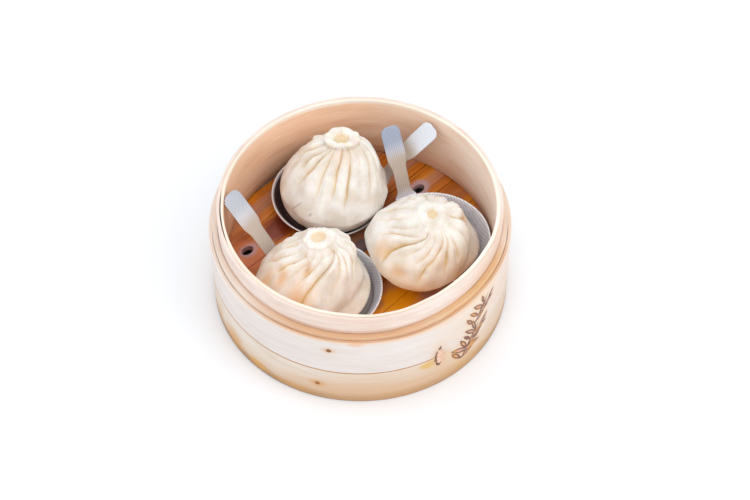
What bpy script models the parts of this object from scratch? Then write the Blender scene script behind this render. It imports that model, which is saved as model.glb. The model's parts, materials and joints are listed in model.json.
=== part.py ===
# Soup dumplings on pressed steel trays in a small bamboo steamer basket.
# Sizes are in millimetres and are scaled to metres when a mesh is made.
# Origin: middle of the basket's foot. +Z is up, and -Y is the basket's front.

import math

import bmesh
import bpy
from mathutils import Matrix, Vector

MM = 0.001
GAP = 0.3                      # clearance between pieces that touch
MERGE = 0.001
CUTTER_DEPTH = 20.0            # a cutter goes right through the floor
CUTTER_EXTRA = 6.0             # and this much past both ends of a peg

# ---- the basket ----
OUTER_RADIUS = 75.0            # a six inch steamer
LAMINATION = 1.8               # one turn of split bamboo
CORE_THICKNESS = 2.2
BASKET_HEIGHT = 62.75
LEDGE_HEIGHT = 48.0            # top of the outer bands
CORE_HEIGHT = 49.2             # the core hoop stands a little above them
BAND_SEAM_HEIGHT = 23.65       # where the two outer bands meet
COLLAR_THICKNESS = 1.6
LINING_THICKNESS = 1.4
COLLAR_DROP = 0.25             # the collar ends just below the lining's rim
NESTING_DEPTH = 14.2           # room under the floor for the collar of the next basket
HOOP_STEPS = 48

# ---- the slatted floor ----
FLOOR_HEIGHT = 23.9
SLAT_THICKNESS = 3.4
SLAT_CROWN = 0.6               # the slats' top is a little round
SLAT_PITCH = 16.9
SLAT_GAP = 0.9
SLAT_COUNT = 8
SLAT_BEARING = 45.0            # degrees from +X, along the slats
FLOOR_REACH = 70.2             # radius the slats are trimmed to, just inside the core hoop
FIRST_SLAT_OFFSET = -60.2      # first slat's middle, across the slats
HOLE_LENGTH = 7.0
HOLE_WIDTH = 4.9
HOLE_PITCH = 45.1              # along a slat
HOLE_START = -39.6             # first hole of every second slat
HOLE_RADII = (12.0, 60.0)      # no hole is nearer the middle or the wall than this
BATTEN_WIDTH = 9.0
BATTEN_THICKNESS = 3.2
BATTEN_OFFSET = 26.0           # of each of two battens from the middle

# ---- pegs and the stitch that hold the bands ----
PEG_RADIUS = 1.15
PEG_BEARINGS = (-102.0, 18.0, 138.0)
UPPER_PEG_HEIGHT = 41.0
LOWER_PEG_HEIGHT = 11.8
LOWER_PEG_TURN = -4.7          # the lower pegs sit a little round from the upper ones
STITCH_BEARING = -59.8
STITCH_WIDTH = 4.4
STITCH_HEIGHT = 10.5
STITCH_THICKNESS = 0.7
STITCH_BOW = 0.5

# ---- the trays ----
SHEET = 0.5
TRAY_BASE_RADIUS = 24.7
TRAY_RIM_RADIUS = 29.6
TRAY_DEPTH = 6.5
TRAY_BEND = 1.6                # how far the bend between base and side reaches in
TRAY_LIFT = 0.5                # and how far it lifts the edge of the base
TRAY_STEPS = 32
HANDLE_LENGTH = 39.6
HANDLE_NECK = 7.4              # width between the dish and the paddle end
HANDLE_TIP = 10.2              # width of the paddle end
HANDLE_CORNER = 3.6            # its corners' radius
HANDLE_FLARE = 1.6             # added each side where it meets the rim, over HANDLE_ROOT
HANDLE_ROOT = 5.0
PADDLE_START = 12.0            # where it begins to widen, and over what length
PADDLE_SPREAD = 15.0
HANDLE_ROWS = (2.0, 5.0, 13.0, 19.0, 25.0, 32.0, 36.4, 38.6, 39.5)
# centre of each tray, then its handle's bearing, rise, bow and twist in degrees
TRAYS = {
    "tray_back": {"centre": (-16.0, 33.0), "bearing": 19.5, "rise": 46.0, "bow": -12.0, "twist": 24.0},
    "tray_right": {"centre": (36.5, 3.0), "bearing": 115.8, "rise": 60.0, "bow": -9.0, "twist": 0.0},
    "tray_left": {"centre": (-18.5, -27.5), "bearing": 142.3, "rise": 46.0, "bow": -4.0, "twist": 0.0},
}

# ---- the dumplings ----
PLEATS = 17
PLEAT_COLUMNS = (0.0, 0.3, 0.68)   # crease, steep crest and long slope of one pleat
CREST_PLACE = 0.3              # where a pleat is highest between two creases
PLEAT_STRAY = 2.5              # degrees a pleat may start out of step
SWIRL_POWER = 2.4              # how early a pleat makes its turn
SHOULDER_TURNS = (22.0, 42.0, 60.0, 75.0)  # degrees up the rounded side, one row each
FOOT_RADIUS = 19.5             # of a dumpling where it rests
RIM_CLEARANCE = 3.6            # between a dumpling and its tray at the tray's rim
# belly: middle of the widest ring; foot_shift: share of its lean that the foot has;
# lip_shift: how far the mouth leans; oval and lobed: out of round, as (share, bearing);
# swirl: degrees a pleat turns on its way down, with swirl_more more towards swirl_side
# and as much less on the other side; deep: pleats that stand out more
DUMPLINGS = {
    "dumpling_back": {
        "tray": "tray_back", "belly": (-13.1, 32.0), "foot_shift": 0.75, "radius": 27.8,
        "height": 42.2, "belly_height": 13.9, "shoulder": 1.23, "lip_shift": (4.4, 5.8),
        "oval": (0.029, -64.0), "lobed": (0.007, -29.0),
        "lip_radius": 8.6, "mouth_radius": 3.8, "lip_height": 6.8, "mouth_depth": 3.4,
        "first_pleat": -89.0, "swirl": -9.0, "swirl_more": -15.0, "swirl_side": -170.0,
        "pleat_depth": 1.5, "deep": {0: 1.4, 1: 1.3, 15: 1.3}, "seed": 3.0,
    },
    "dumpling_right": {
        "tray": "tray_right", "belly": (28.8, -7.1), "foot_shift": 0.1, "radius": 27.0,
        "height": 33.2, "belly_height": 12.1, "shoulder": 1.49, "lip_shift": (6.6, 3.0),
        "oval": (0.039, -72.0), "lobed": (0.032, 29.0),
        "lip_radius": 8.4, "mouth_radius": 2.6, "lip_height": 3.8, "mouth_depth": 2.4,
        "first_pleat": -109.0, "swirl": -11.0, "swirl_more": -36.0, "swirl_side": -145.0,
        "pleat_depth": 1.6, "deep": {0: 1.6, 2: 1.3, 5: 1.5}, "seed": 8.0,
    },
    "dumpling_left": {
        "tray": "tray_left", "belly": (-26.4, -26.8), "foot_shift": 0.1, "radius": 26.5,
        "height": 36.2, "belly_height": 10.1, "shoulder": 1.24, "lip_shift": (6.7, 5.5),
        "oval": (0.058, 49.0), "lobed": (0.012, 15.0),
        "lip_radius": 7.9, "mouth_radius": 3.2, "lip_height": 5.6, "mouth_depth": 3.0,
        "first_pleat": -59.0, "swirl": -13.0, "swirl_more": -24.0, "swirl_side": -112.0,
        "pleat_depth": 1.5, "deep": {0: 1.6, 13: 1.4}, "seed": 5.0,
    },
}

# radii of the hoops' faces, from the outside in
BAND_INNER = OUTER_RADIUS - LAMINATION
CORE_OUTER = BAND_INNER - GAP
CORE_INNER = CORE_OUTER - CORE_THICKNESS
COLLAR_OUTER = CORE_INNER - GAP
COLLAR_INNER = COLLAR_OUTER - COLLAR_THICKNESS
LINING_OUTER = COLLAR_INNER - GAP
INNER_RADIUS = LINING_OUTER - LINING_THICKNESS
FLOOR_RING_INNER = INNER_RADIUS + 0.5


def clear_scene():
    for item in list(bpy.data.objects):
        bpy.data.objects.remove(item, do_unlink=True)


def make_collection(name):
    group = bpy.data.collections.new(name)
    bpy.context.scene.collection.children.link(group)
    return group


def make_material(name, color, roughness, metallic=0.0):
    material = bpy.data.materials.new(name)
    material.use_nodes = True
    shader = material.node_tree.nodes["Principled BSDF"]
    shader.inputs["Base Color"].default_value = (*color, 1.0)
    shader.inputs["Roughness"].default_value = roughness
    shader.inputs["Metallic"].default_value = metallic
    material.diffuse_color = (*color, 1.0)
    return material


def add_object(name, mesh, group, material):
    item = bpy.data.objects.new(name, mesh)
    group.objects.link(item)
    if material:
        mesh.materials.append(material)
    return item


def mesh_from(name, shape):
    """Turn a bmesh that is in millimetres into a mesh in metres."""
    bmesh.ops.scale(shape, vec=Vector((MM, MM, MM)), verts=shape.verts)
    bmesh.ops.recalc_face_normals(shape, faces=shape.faces)
    mesh = bpy.data.meshes.new(name)
    shape.to_mesh(mesh)
    shape.free()
    return mesh


def hide_cutter(cutter):
    cutter.hide_render = True
    cutter.display_type = "WIRE"


def cut(item, cutter, operation="DIFFERENCE"):
    boolean = item.modifiers.new("cut " + cutter.name, "BOOLEAN")
    boolean.operation = operation
    boolean.solver = "EXACT"
    boolean.object = cutter


def polar(radius, degrees, height=0.0):
    angle = math.radians(degrees)
    return Vector((radius * math.cos(angle), radius * math.sin(angle), height))


def ease(value):
    """Smooth step from 0 to 1."""
    value = min(max(value, 0.0), 1.0)
    return value * value * (3.0 - 2.0 * value)


# ---- basket ----

def make_hoop(name, inner, outer, low, high, group, material):
    """A closed rectangle beside the axis, turned once round it."""
    shape = bmesh.new()
    corners = [shape.verts.new((radius, 0.0, height)) for radius, height in
               ((outer, high), (inner, high), (inner, low), (outer, low))]
    for start, end in zip(corners, corners[1:] + corners[:1]):
        shape.edges.new((start, end))
    bmesh.ops.scale(shape, vec=Vector((MM, MM, MM)), verts=shape.verts)
    mesh = bpy.data.meshes.new(name)
    shape.to_mesh(mesh)
    shape.free()
    hoop = add_object(name, mesh, group, material)
    screw = hoop.modifiers.new("turn", "SCREW")
    screw.axis = "Z"
    screw.angle = math.tau
    screw.steps = HOOP_STEPS
    screw.render_steps = HOOP_STEPS
    screw.use_merge_vertices = True
    screw.merge_threshold = 0.00001
    screw.use_normal_flip = True
    return hoop


def make_hoops(group, materials):
    wall_low = FLOOR_HEIGHT + GAP
    half_gap = GAP / 2.0
    hoops = {
        "lining": (INNER_RADIUS, LINING_OUTER, wall_low, BASKET_HEIGHT, "lining"),
        "collar": (COLLAR_INNER, COLLAR_OUTER, wall_low, BASKET_HEIGHT - COLLAR_DROP, "band"),
        "core_hoop": (CORE_INNER, CORE_OUTER, 0.0, CORE_HEIGHT, "core"),
        "upper_band": (BAND_INNER, OUTER_RADIUS, BAND_SEAM_HEIGHT + half_gap, LEDGE_HEIGHT, "band"),
        "lower_band": (BAND_INNER, OUTER_RADIUS, 0.0, BAND_SEAM_HEIGHT - half_gap, "band"),
        "floor_ring": (FLOOR_RING_INNER, COLLAR_OUTER, NESTING_DEPTH,
                       FLOOR_HEIGHT - SLAT_THICKNESS - GAP, "core"),
    }
    made = {}
    for name, (inner, outer, low, high, finish) in hoops.items():
        made[name] = make_hoop(name, inner, outer, low, high, group, materials[finish])
    return made


def make_pegs(hoops, group, cutters, material):
    """Round pegs driven through an outer band and the core hoop behind it."""
    rows = (("upper", UPPER_PEG_HEIGHT, 0.0), ("lower", LOWER_PEG_HEIGHT, LOWER_PEG_TURN))
    peg_length = OUTER_RADIUS - CORE_INNER - 2.0 * GAP
    middle = (OUTER_RADIUS + CORE_INNER) / 2.0
    for row, height, turn in rows:
        for number, bearing in enumerate(PEG_BEARINGS, start=1):
            place = (Matrix.Translation(polar(middle, bearing + turn, height))
                     @ Matrix.Rotation(math.radians(bearing + turn), 4, "Z")
                     @ Matrix.Rotation(math.radians(90.0), 4, "Y"))
            for role, radius, length in (("peg", PEG_RADIUS, peg_length),
                                         ("hole", PEG_RADIUS + GAP, peg_length + CUTTER_EXTRA)):
                shape = bmesh.new()
                bmesh.ops.create_cone(shape, cap_ends=True, segments=8, radius1=radius,
                                      radius2=radius, depth=length, matrix=place)
                name = f"{role}_{row}_{number}"
                mesh = mesh_from(name, shape)
                if role == "peg":
                    add_object(name, mesh, group, material)
                    continue
                cutter = add_object(name, mesh, cutters, None)
                hide_cutter(cutter)
                cut(hoops[row + "_band"], cutter)
                cut(hoops["core_hoop"], cutter)


def make_stitch(group, material):
    """A short strip of split bamboo bowed over the seam between the bands."""
    shape = bmesh.new()
    bmesh.ops.create_cube(shape, size=1.0)
    upright = [edge for edge in shape.edges if edge.verts[0].co.xy == edge.verts[1].co.xy]
    bmesh.ops.subdivide_edges(shape, edges=upright, cuts=5, use_grid_fill=True)
    inner = OUTER_RADIUS + GAP
    for vert in shape.verts:
        along = vert.co.z * 2.0
        depth = inner + STITCH_THICKNESS * (vert.co.x + 0.5) + STITCH_BOW * (1.0 - along * along)
        vert.co = Vector((depth, vert.co.y * STITCH_WIDTH,
                          BAND_SEAM_HEIGHT + vert.co.z * STITCH_HEIGHT))
    turn = Matrix.Rotation(math.radians(STITCH_BEARING), 4, "Z")
    bmesh.ops.transform(shape, matrix=turn, verts=shape.verts)
    add_object("seam_stitch", mesh_from("seam_stitch", shape), group, material)


# ---- floor ----

def slat_holes(index, offset):
    """Places along one slat; every second slat's holes are half a pitch on."""
    shift = 0.0 if index % 2 == 0 else HOLE_PITCH / 2.0
    places = []
    for step in range(-1, 4):
        along = HOLE_START + shift + step * HOLE_PITCH
        if HOLE_RADII[0] < math.hypot(along, offset) < HOLE_RADII[1]:
            places.append(along)
    return places


def make_floor(group, cutters, material):
    turn = Matrix.Rotation(math.radians(SLAT_BEARING), 4, "Z")
    bottom = FLOOR_HEIGHT - SLAT_THICKNESS
    half = (SLAT_PITCH - SLAT_GAP) / 2.0

    shape = bmesh.new()
    bmesh.ops.create_cone(shape, cap_ends=True, segments=HOOP_STEPS, radius1=FLOOR_REACH,
                          radius2=FLOOR_REACH, depth=CUTTER_DEPTH,
                          matrix=Matrix.Translation((0.0, 0.0, bottom)))
    round_trim = add_object("floor_trim", mesh_from("floor_trim", shape), cutters, None)
    hide_cutter(round_trim)

    for index in range(SLAT_COUNT):
        offset = FIRST_SLAT_OFFSET + index * SLAT_PITCH
        # outline across the slat: flat below, crowned above
        outline = [(-half, bottom), (half, bottom)]
        for share in (1.0, 0.5, 0.0, -0.5, -1.0):
            outline.append((half * share, FLOOR_HEIGHT - SLAT_CROWN * share ** 2))
        shape = bmesh.new()
        ring = [shape.verts.new((-OUTER_RADIUS, offset + across, height)) for across, height in outline]
        end = shape.faces.new(ring)
        grown = bmesh.ops.extrude_face_region(shape, geom=[end])
        moved = [item for item in grown["geom"] if isinstance(item, bmesh.types.BMVert)]
        bmesh.ops.translate(shape, vec=Vector((2.0 * OUTER_RADIUS, 0.0, 0.0)), verts=moved)
        bmesh.ops.transform(shape, matrix=turn, verts=shape.verts)
        name = f"slat_{index + 1}"
        slat = add_object(name, mesh_from(name, shape), group, material)
        cut(slat, round_trim, "INTERSECT")

        for number, along in enumerate(slat_holes(index, offset), start=1):
            shape = bmesh.new()
            place = turn @ Matrix.Translation((along, offset, bottom))
            bmesh.ops.create_cone(shape, cap_ends=True, segments=12, radius1=1.0, radius2=1.0,
                                  depth=CUTTER_DEPTH)
            bmesh.ops.scale(shape, vec=Vector((HOLE_LENGTH / 2.0, HOLE_WIDTH / 2.0, 1.0)),
                            verts=shape.verts)
            bmesh.ops.transform(shape, matrix=place, verts=shape.verts)
            cutter_name = f"steam_hole_{index + 1}_{number}"
            cutter = add_object(cutter_name, mesh_from(cutter_name, shape), cutters, None)
            hide_cutter(cutter)
            cut(slat, cutter)


def make_battens(group, material):
    """Two strips across the slats' undersides, end to end inside the floor ring."""
    turn = Matrix.Rotation(math.radians(SLAT_BEARING), 4, "Z")
    top = FLOOR_HEIGHT - SLAT_THICKNESS - GAP
    for number, offset in enumerate((-BATTEN_OFFSET, BATTEN_OFFSET), start=1):
        edge = abs(offset) + BATTEN_WIDTH / 2.0
        length = 2.0 * (math.sqrt(FLOOR_RING_INNER ** 2 - edge ** 2) - 2.0 * GAP)
        shape = bmesh.new()
        bmesh.ops.create_cube(shape, size=1.0)
        bmesh.ops.scale(shape, vec=Vector((BATTEN_WIDTH, length, BATTEN_THICKNESS)), verts=shape.verts)
        bmesh.ops.translate(shape, vec=Vector((offset, 0.0, top - BATTEN_THICKNESS / 2.0)),
                            verts=shape.verts)
        bmesh.ops.transform(shape, matrix=turn, verts=shape.verts)
        name = f"batten_{number}"
        add_object(name, mesh_from(name, shape), group, material)


# ---- trays ----

def handle_half_width(along):
    """Half width of a handle: a flared root, a neck and a paddle end with round corners."""
    neck = HANDLE_NECK / 2.0
    tip = HANDLE_TIP / 2.0
    half = neck + (tip - neck) * ease((along - PADDLE_START) / PADDLE_SPREAD)
    half += HANDLE_FLARE * (1.0 - ease(along / HANDLE_ROOT))
    short = HANDLE_CORNER - (HANDLE_LENGTH - along)
    if short > 0.0:
        half -= HANDLE_CORNER - math.sqrt(HANDLE_CORNER ** 2 - short ** 2)
    return half


def make_tray(name, values, group, material):
    """A dished disc with one handle, pressed from a single sheet."""
    low = FLOOR_HEIGHT + GAP + SHEET / 2.0
    rim_height = FLOOR_HEIGHT + GAP + TRAY_DEPTH
    profile = ((0.0, low), (TRAY_BASE_RADIUS - TRAY_BEND, low),
               (TRAY_BASE_RADIUS, low + TRAY_LIFT),
               (0.5 * (TRAY_BASE_RADIUS + TRAY_RIM_RADIUS), 0.5 * (low + rim_height)),
               (TRAY_RIM_RADIUS - SHEET / 2.0, rim_height))
    shape = bmesh.new()
    line = [shape.verts.new((radius, 0.0, height)) for radius, height in profile]
    edges = [shape.edges.new(pair) for pair in zip(line, line[1:])]
    bmesh.ops.spin(shape, geom=line + edges, axis=(0.0, 0.0, 1.0), cent=(0.0, 0.0, 0.0),
                   angle=math.tau, steps=TRAY_STEPS, use_merge=True)
    bmesh.ops.remove_doubles(shape, verts=shape.verts, dist=MERGE)

    # the handle grows from the two rim edges either side of +X
    step = math.tau / TRAY_STEPS
    root = [edge for edge in shape.edges if edge.is_boundary and all(
        abs(math.atan2(vert.co.y, vert.co.x)) < 1.1 * step for vert in edge.verts)]
    rise = math.radians(values["rise"])
    bow = math.radians(values["bow"])
    reach = TRAY_RIM_RADIUS - SHEET / 2.0
    height = rim_height
    before = 0.0
    for along in HANDLE_ROWS:
        grown = bmesh.ops.extrude_edge_only(shape, edges=root)
        root = [item for item in grown["geom"] if isinstance(item, bmesh.types.BMEdge)]
        row = [item for item in grown["geom"] if isinstance(item, bmesh.types.BMVert)]
        slope = rise + bow * (along / HANDLE_LENGTH - 0.5)
        reach += (along - before) * math.cos(slope)
        height += (along - before) * math.sin(slope)
        before = along
        half = handle_half_width(along)
        twist = math.radians(values["twist"]) * ease(along / HANDLE_LENGTH)
        across = Vector((-math.sin(slope) * math.sin(twist), math.cos(twist),
                         math.cos(slope) * math.sin(twist)))
        for vert in row:
            side = 0.0 if abs(vert.co.y) < 0.01 else math.copysign(1.0, vert.co.y)
            vert.co = Vector((reach, 0.0, height)) + side * half * across

    bmesh.ops.rotate(shape, cent=(0.0, 0.0, 0.0), verts=shape.verts,
                     matrix=Matrix.Rotation(math.radians(values["bearing"]), 3, "Z"))
    bmesh.ops.translate(shape, vec=Vector((*values["centre"], 0.0)), verts=shape.verts)
    tray = add_object(name, mesh_from(name, shape), group, material)
    thicken = tray.modifiers.new("sheet", "SOLIDIFY")
    thicken.thickness = SHEET * MM
    thicken.offset = 0.0
    thicken.use_even_offset = True


# ---- dumplings ----

def dumpling_profile(values):
    """Half outline from the foot's middle to the mouth's bottom, as (radius, height)."""
    radius = values["radius"]
    belly = values["belly_height"]
    lip = values["lip_radius"]
    mouth = values["mouth_radius"]
    top = values["height"]
    neck_height = top - values["lip_height"]
    neck = lip - 0.7
    rim = TRAY_DEPTH - SHEET
    side = TRAY_RIM_RADIUS - RIM_CLEARANCE
    points = [(0.0, 0.0), (FOOT_RADIUS, 0.0), (0.5 * (FOOT_RADIUS + side), 0.5 * rim), (side, rim),
              (radius, belly)]
    power = 2.0 / values["shoulder"]
    for degrees in SHOULDER_TURNS:
        angle = math.radians(degrees)
        points.append((neck + (radius - neck) * math.cos(angle) ** power,
                       belly + (neck_height - belly) * math.sin(angle) ** power))
    points += [(neck, neck_height + 0.1 * values["lip_height"]),
               (lip, neck_height + 0.55 * values["lip_height"]),
               (0.5 * (lip + mouth) + 0.8, top),
               (mouth, top - 0.6),
               (0.55 * mouth, top - 0.8 * values["mouth_depth"]),
               (0.0, top - values["mouth_depth"])]
    return points


def pleat_bearing(number, fall, values):
    """Bearing of crease `number`, where fall runs from 0 at the neck to 1 at the belly."""
    start = values["first_pleat"] + number * 360.0 / PLEATS
    start += PLEAT_STRAY * math.sin(values["seed"] + 2.4 * (number % PLEATS))
    side = math.cos(math.radians(start - values["swirl_side"]))
    swirl = values["swirl"] + values["swirl_more"] * side
    return start + swirl * (1.0 - (1.0 - fall) ** SWIRL_POWER)


def pleat_height(number, part, fall, values):
    """How far a pleat stands out or sinks in: a narrow crease, a steep crest, a long slope."""
    strength = 0.8 + 0.3 * math.sin(1.7 * values["seed"] + 1.9 * number)
    strength *= values["deep"].get(number, 1.0)
    reach = 1.02 + 0.16 * math.sin(values["seed"] + 3.1 * number)
    fade = ease((reach - fall) / 0.55) * (0.4 + 0.6 * ease(2.5 * fall))
    crest = math.sin(math.pi * part ** (math.log(0.5) / math.log(CREST_PLACE)))
    return values["pleat_depth"] * strength * fade * (1.6 * max(crest, 0.0) ** 0.6 - 1.0)


def make_dumpling(name, values, group, material):
    profile = dumpling_profile(values)
    belly = values["belly_height"]
    neck_height = values["height"] - values["lip_height"]
    belly_row = 4
    mouth_row = len(profile) - 3
    steps = PLEATS * len(PLEAT_COLUMNS)

    shape = bmesh.new()
    row_layer = shape.verts.layers.int.new("row")
    line = []
    for row, (radius, height) in enumerate(profile):
        vert = shape.verts.new((radius, 0.0, height))
        vert[row_layer] = row
        line.append(vert)
    edges = [shape.edges.new(pair) for pair in zip(line, line[1:])]
    bmesh.ops.spin(shape, geom=line + edges, axis=(0.0, 0.0, 1.0), cent=(0.0, 0.0, 0.0),
                   angle=math.tau, steps=steps, use_merge=True)
    bmesh.ops.remove_doubles(shape, verts=shape.verts, dist=MERGE)

    tray = Vector((*TRAYS[values["tray"]]["centre"], 0.0))
    lean = Vector((*values["belly"], 0.0)) - tray
    mouth_lean = Vector((*values["lip_shift"], 0.0))
    foot = FLOOR_HEIGHT + GAP + SHEET + GAP
    rim = TRAY_DEPTH - SHEET
    for vert in shape.verts:
        row = vert[row_layer]
        radius, height = profile[row]
        turn = math.degrees(math.atan2(vert.co.y, vert.co.x)) % 360.0
        number, column = divmod(round(turn * steps / 360.0) % steps, len(PLEAT_COLUMNS))
        part = PLEAT_COLUMNS[column]
        fall = 1.0
        if row > belly_row:
            fall = max((neck_height - height) / (neck_height - belly), 0.0)
        here = pleat_bearing(number, fall, values)
        following = pleat_bearing(number + 1, fall, values)
        bearing = here + part * (following - here)
        settle = ease((height - rim) / (belly - rim))
        if belly_row < row < mouth_row:
            radius += pleat_height(number, part, fall, values)
        oval, oval_bearing = values["oval"]
        lobed, lobed_bearing = values["lobed"]
        radius *= 1.0 + settle * (oval * math.cos(math.radians(2.0 * (bearing - oval_bearing)))
                                  + lobed * math.cos(math.radians(3.0 * (bearing - lobed_bearing))))
        rise = ease((height - belly) / (neck_height - belly))
        shift = lean * (values["foot_shift"] * (1.0 - settle) + settle) + mouth_lean * rise
        vert.co = tray + shift + polar(radius, bearing, foot + height)
    add_object(name, mesh_from(name, shape), group, material)


def build():
    clear_scene()
    group = make_collection("soup_dumplings")
    cutters = make_collection("cutters")
    materials = {
        "band": make_material("pale_bamboo", (0.86, 0.76, 0.60), 0.55),
        "lining": make_material("bamboo_lining", (0.72, 0.50, 0.32), 0.6),
        "core": make_material("bamboo_core", (0.68, 0.45, 0.26), 0.6),
        "slat": make_material("glossy_bamboo", (0.42, 0.17, 0.04), 0.3),
        "peg": make_material("peg_bamboo", (0.50, 0.27, 0.10), 0.6),
        "steel": make_material("pressed_steel", (0.62, 0.62, 0.64), 0.3, 1.0),
        "dough": make_material("steamed_dough", (0.88, 0.82, 0.70), 0.35),
    }
    hoops = make_hoops(group, materials)
    make_pegs(hoops, group, cutters, materials["peg"])
    make_stitch(group, materials["peg"])
    make_floor(group, cutters, materials["slat"])
    make_battens(group, materials["core"])
    for name, values in TRAYS.items():
        make_tray(name, values, group, materials["steel"])
    for name, values in DUMPLINGS.items():
        make_dumpling(name, values, group, materials["dough"])


build()
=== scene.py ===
import json
import math

import bmesh
import bpy
from mathutils import Matrix, Vector, noise

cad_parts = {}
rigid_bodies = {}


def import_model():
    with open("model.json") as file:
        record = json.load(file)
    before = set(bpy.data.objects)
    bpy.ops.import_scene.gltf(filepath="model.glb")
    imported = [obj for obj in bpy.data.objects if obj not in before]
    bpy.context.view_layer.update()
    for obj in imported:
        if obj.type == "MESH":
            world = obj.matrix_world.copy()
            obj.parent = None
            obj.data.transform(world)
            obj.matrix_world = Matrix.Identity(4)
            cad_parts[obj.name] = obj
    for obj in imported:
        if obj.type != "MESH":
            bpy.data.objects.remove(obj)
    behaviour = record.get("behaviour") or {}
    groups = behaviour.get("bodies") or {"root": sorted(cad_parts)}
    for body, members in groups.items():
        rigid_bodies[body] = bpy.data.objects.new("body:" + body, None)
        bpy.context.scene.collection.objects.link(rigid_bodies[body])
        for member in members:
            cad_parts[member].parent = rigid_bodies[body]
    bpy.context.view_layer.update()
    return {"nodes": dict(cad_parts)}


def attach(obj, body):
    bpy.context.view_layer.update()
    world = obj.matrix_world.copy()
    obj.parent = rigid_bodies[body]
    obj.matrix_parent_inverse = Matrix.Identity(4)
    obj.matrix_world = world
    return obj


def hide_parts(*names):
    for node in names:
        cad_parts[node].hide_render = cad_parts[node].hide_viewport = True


for item in list(bpy.data.objects):
    bpy.data.objects.remove(item, do_unlink=True)

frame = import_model()
print("model loaded,", len(frame["nodes"]), "nodes")

mm = 0.001          # shapes are made in millimetres and scaled as they are finished
studioGroup = bpy.context.scene.collection
pieceGroup = bpy.data.collections.new("dumplingBasket")
studioGroup.children.link(pieceGroup)


def ease(value):
    value = min(max(value, 0.0), 1.0)
    return value * value * (3.0 - 2.0 * value)


def polar(radius, degrees, height=0.0):
    angle = math.radians(degrees)
    return Vector((radius * math.cos(angle), radius * math.sin(angle), height))


def apart(first, second):           # smallest turn between two bearings, with its sign
    return (first - second + 180.0) % 360.0 - 180.0


# A smooth line through a few points.
def smoothLine(points, stepsEach):
    ends = [points[0] * 2.0 - points[1]] + points + [points[-1] * 2.0 - points[-2]]
    line = []
    for number in range(1, len(ends) - 2):
        a, b, c, d = ends[number - 1:number + 3]
        for step in range(stepsEach):
            t = step / stepsEach
            line.append(0.5 * (2.0 * b + (c - a) * t + (2.0 * a - 5.0 * b + 4.0 * c - d) * t * t
                               + (3.0 * b - a - 3.0 * c + d) * t ** 3))
    return line + [points[-1]]


# Turn a line of (radius, height) once round the axis.
def spinLine(points, steps, closed):
    shape = bmesh.new()
    rowLayer = shape.verts.layers.int.new("row")
    line = [shape.verts.new((radius, 0.0, height)) for radius, height in points]
    for row, vert in enumerate(line):
        vert[rowLayer] = row
    pairs = list(zip(line, line[1:])) + ([(line[-1], line[0])] if closed else [])
    edges = [shape.edges.new(pair) for pair in pairs]
    bmesh.ops.spin(shape, geom=line + edges, axis=(0.0, 0.0, 1.0), cent=(0.0, 0.0, 0.0),
                   angle=math.tau, steps=steps, use_merge=True)
    bmesh.ops.remove_doubles(shape, verts=shape.verts, dist=0.0005)
    return shape


def bevelEdges(shape, edges, width, segments):
    bmesh.ops.bevel(shape, geom=edges, offset=width, segments=segments, profile=0.5,
                    affect="EDGES", material=-1, clamp_overlap=True)


def turnShape(shape, degrees):
    bmesh.ops.rotate(shape, cent=(0.0, 0.0, 0.0), verts=shape.verts,
                     matrix=Matrix.Rotation(math.radians(degrees), 3, "Z"))


def unevenness(around, scale, level):      # noise that closes on itself round the axis
    return noise.noise(Vector((around.x * scale, around.y * scale, level)))


def growEdges(shape, edges):        # pulls a new row out of the edges, and gives its edges and corners
    grown = bmesh.ops.extrude_edge_only(shape, edges=edges)["geom"]
    edges = [item for item in grown if isinstance(item, bmesh.types.BMEdge)]
    return edges, {vert for edge in edges for vert in edge.verts}


def newMesh(name, shape, material):
    mesh = bpy.data.meshes.new(name)
    shape.to_mesh(mesh)
    shape.free()
    mesh.materials.append(material)
    return mesh


def newObject(name, data, group):
    made = bpy.data.objects.new(name, data)
    group.objects.link(made)
    return made


def finishPiece(name, shape, material, node, sharp=40.0):
    bmesh.ops.scale(shape, vec=Vector((mm, mm, mm)), verts=shape.verts)
    bmesh.ops.recalc_face_normals(shape, faces=shape.faces)
    mesh = newMesh(name, shape, material)
    mesh.shade_smooth()
    mesh.set_sharp_from_angle(angle=math.radians(sharp))
    piece = newObject(name, mesh, pieceGroup)
    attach(piece, "root")
    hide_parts(node)
    return piece


def paint(levels):                  # a screen colour, 0 to 255, as the linear colour of a socket
    shares = [level / 255.0 for level in levels]
    return (*(share / 12.92 if share <= 0.04045 else ((share + 0.055) / 1.055) ** 2.4
              for share in shares), 1.0)


def newMaterial(name):
    material = bpy.data.materials.new(name)
    material.use_nodes = True
    return material, material.node_tree, material.node_tree.nodes["Principled BSDF"]


def feed(tree, socket, value):      # a row of three numbers is a screen colour
    if isinstance(value, bpy.types.NodeSocket):
        tree.links.new(value, socket)
    else:
        socket.default_value = paint(value) if isinstance(value, tuple) and len(value) == 3 else value


def add(tree, kind, settings=None, **inputs):
    made = tree.nodes.new("ShaderNode" + kind)
    for name, value in (settings or {}).items():
        setattr(made, name, value)
    for name, value in inputs.items():
        feed(tree, made.inputs[name], value)
    return made


def calc(tree, operation, *values):
    made = add(tree, "Math", {"operation": operation})
    for socket, value in zip(made.inputs, values):
        feed(tree, socket, value)
    return made.outputs[0]


def times(tree, value, *others):
    for other in others:
        value = calc(tree, "MULTIPLY", value, other)
    return value


def plus(tree, first, second):
    return calc(tree, "ADD", first, second)


def minus(tree, first, second):
    return calc(tree, "SUBTRACT", first, second)


def spread(tree, value, low, high, newLow=0.0, newHigh=1.0, smooth=False):
    made = add(tree, "MapRange", {"interpolation_type": "SMOOTHSTEP" if smooth else "LINEAR"},
               Value=value)
    for name, number in (("From Min", low), ("From Max", high), ("To Min", newLow), ("To Max", newHigh)):
        made.inputs[name].default_value = number
    return made.outputs[0]


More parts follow.
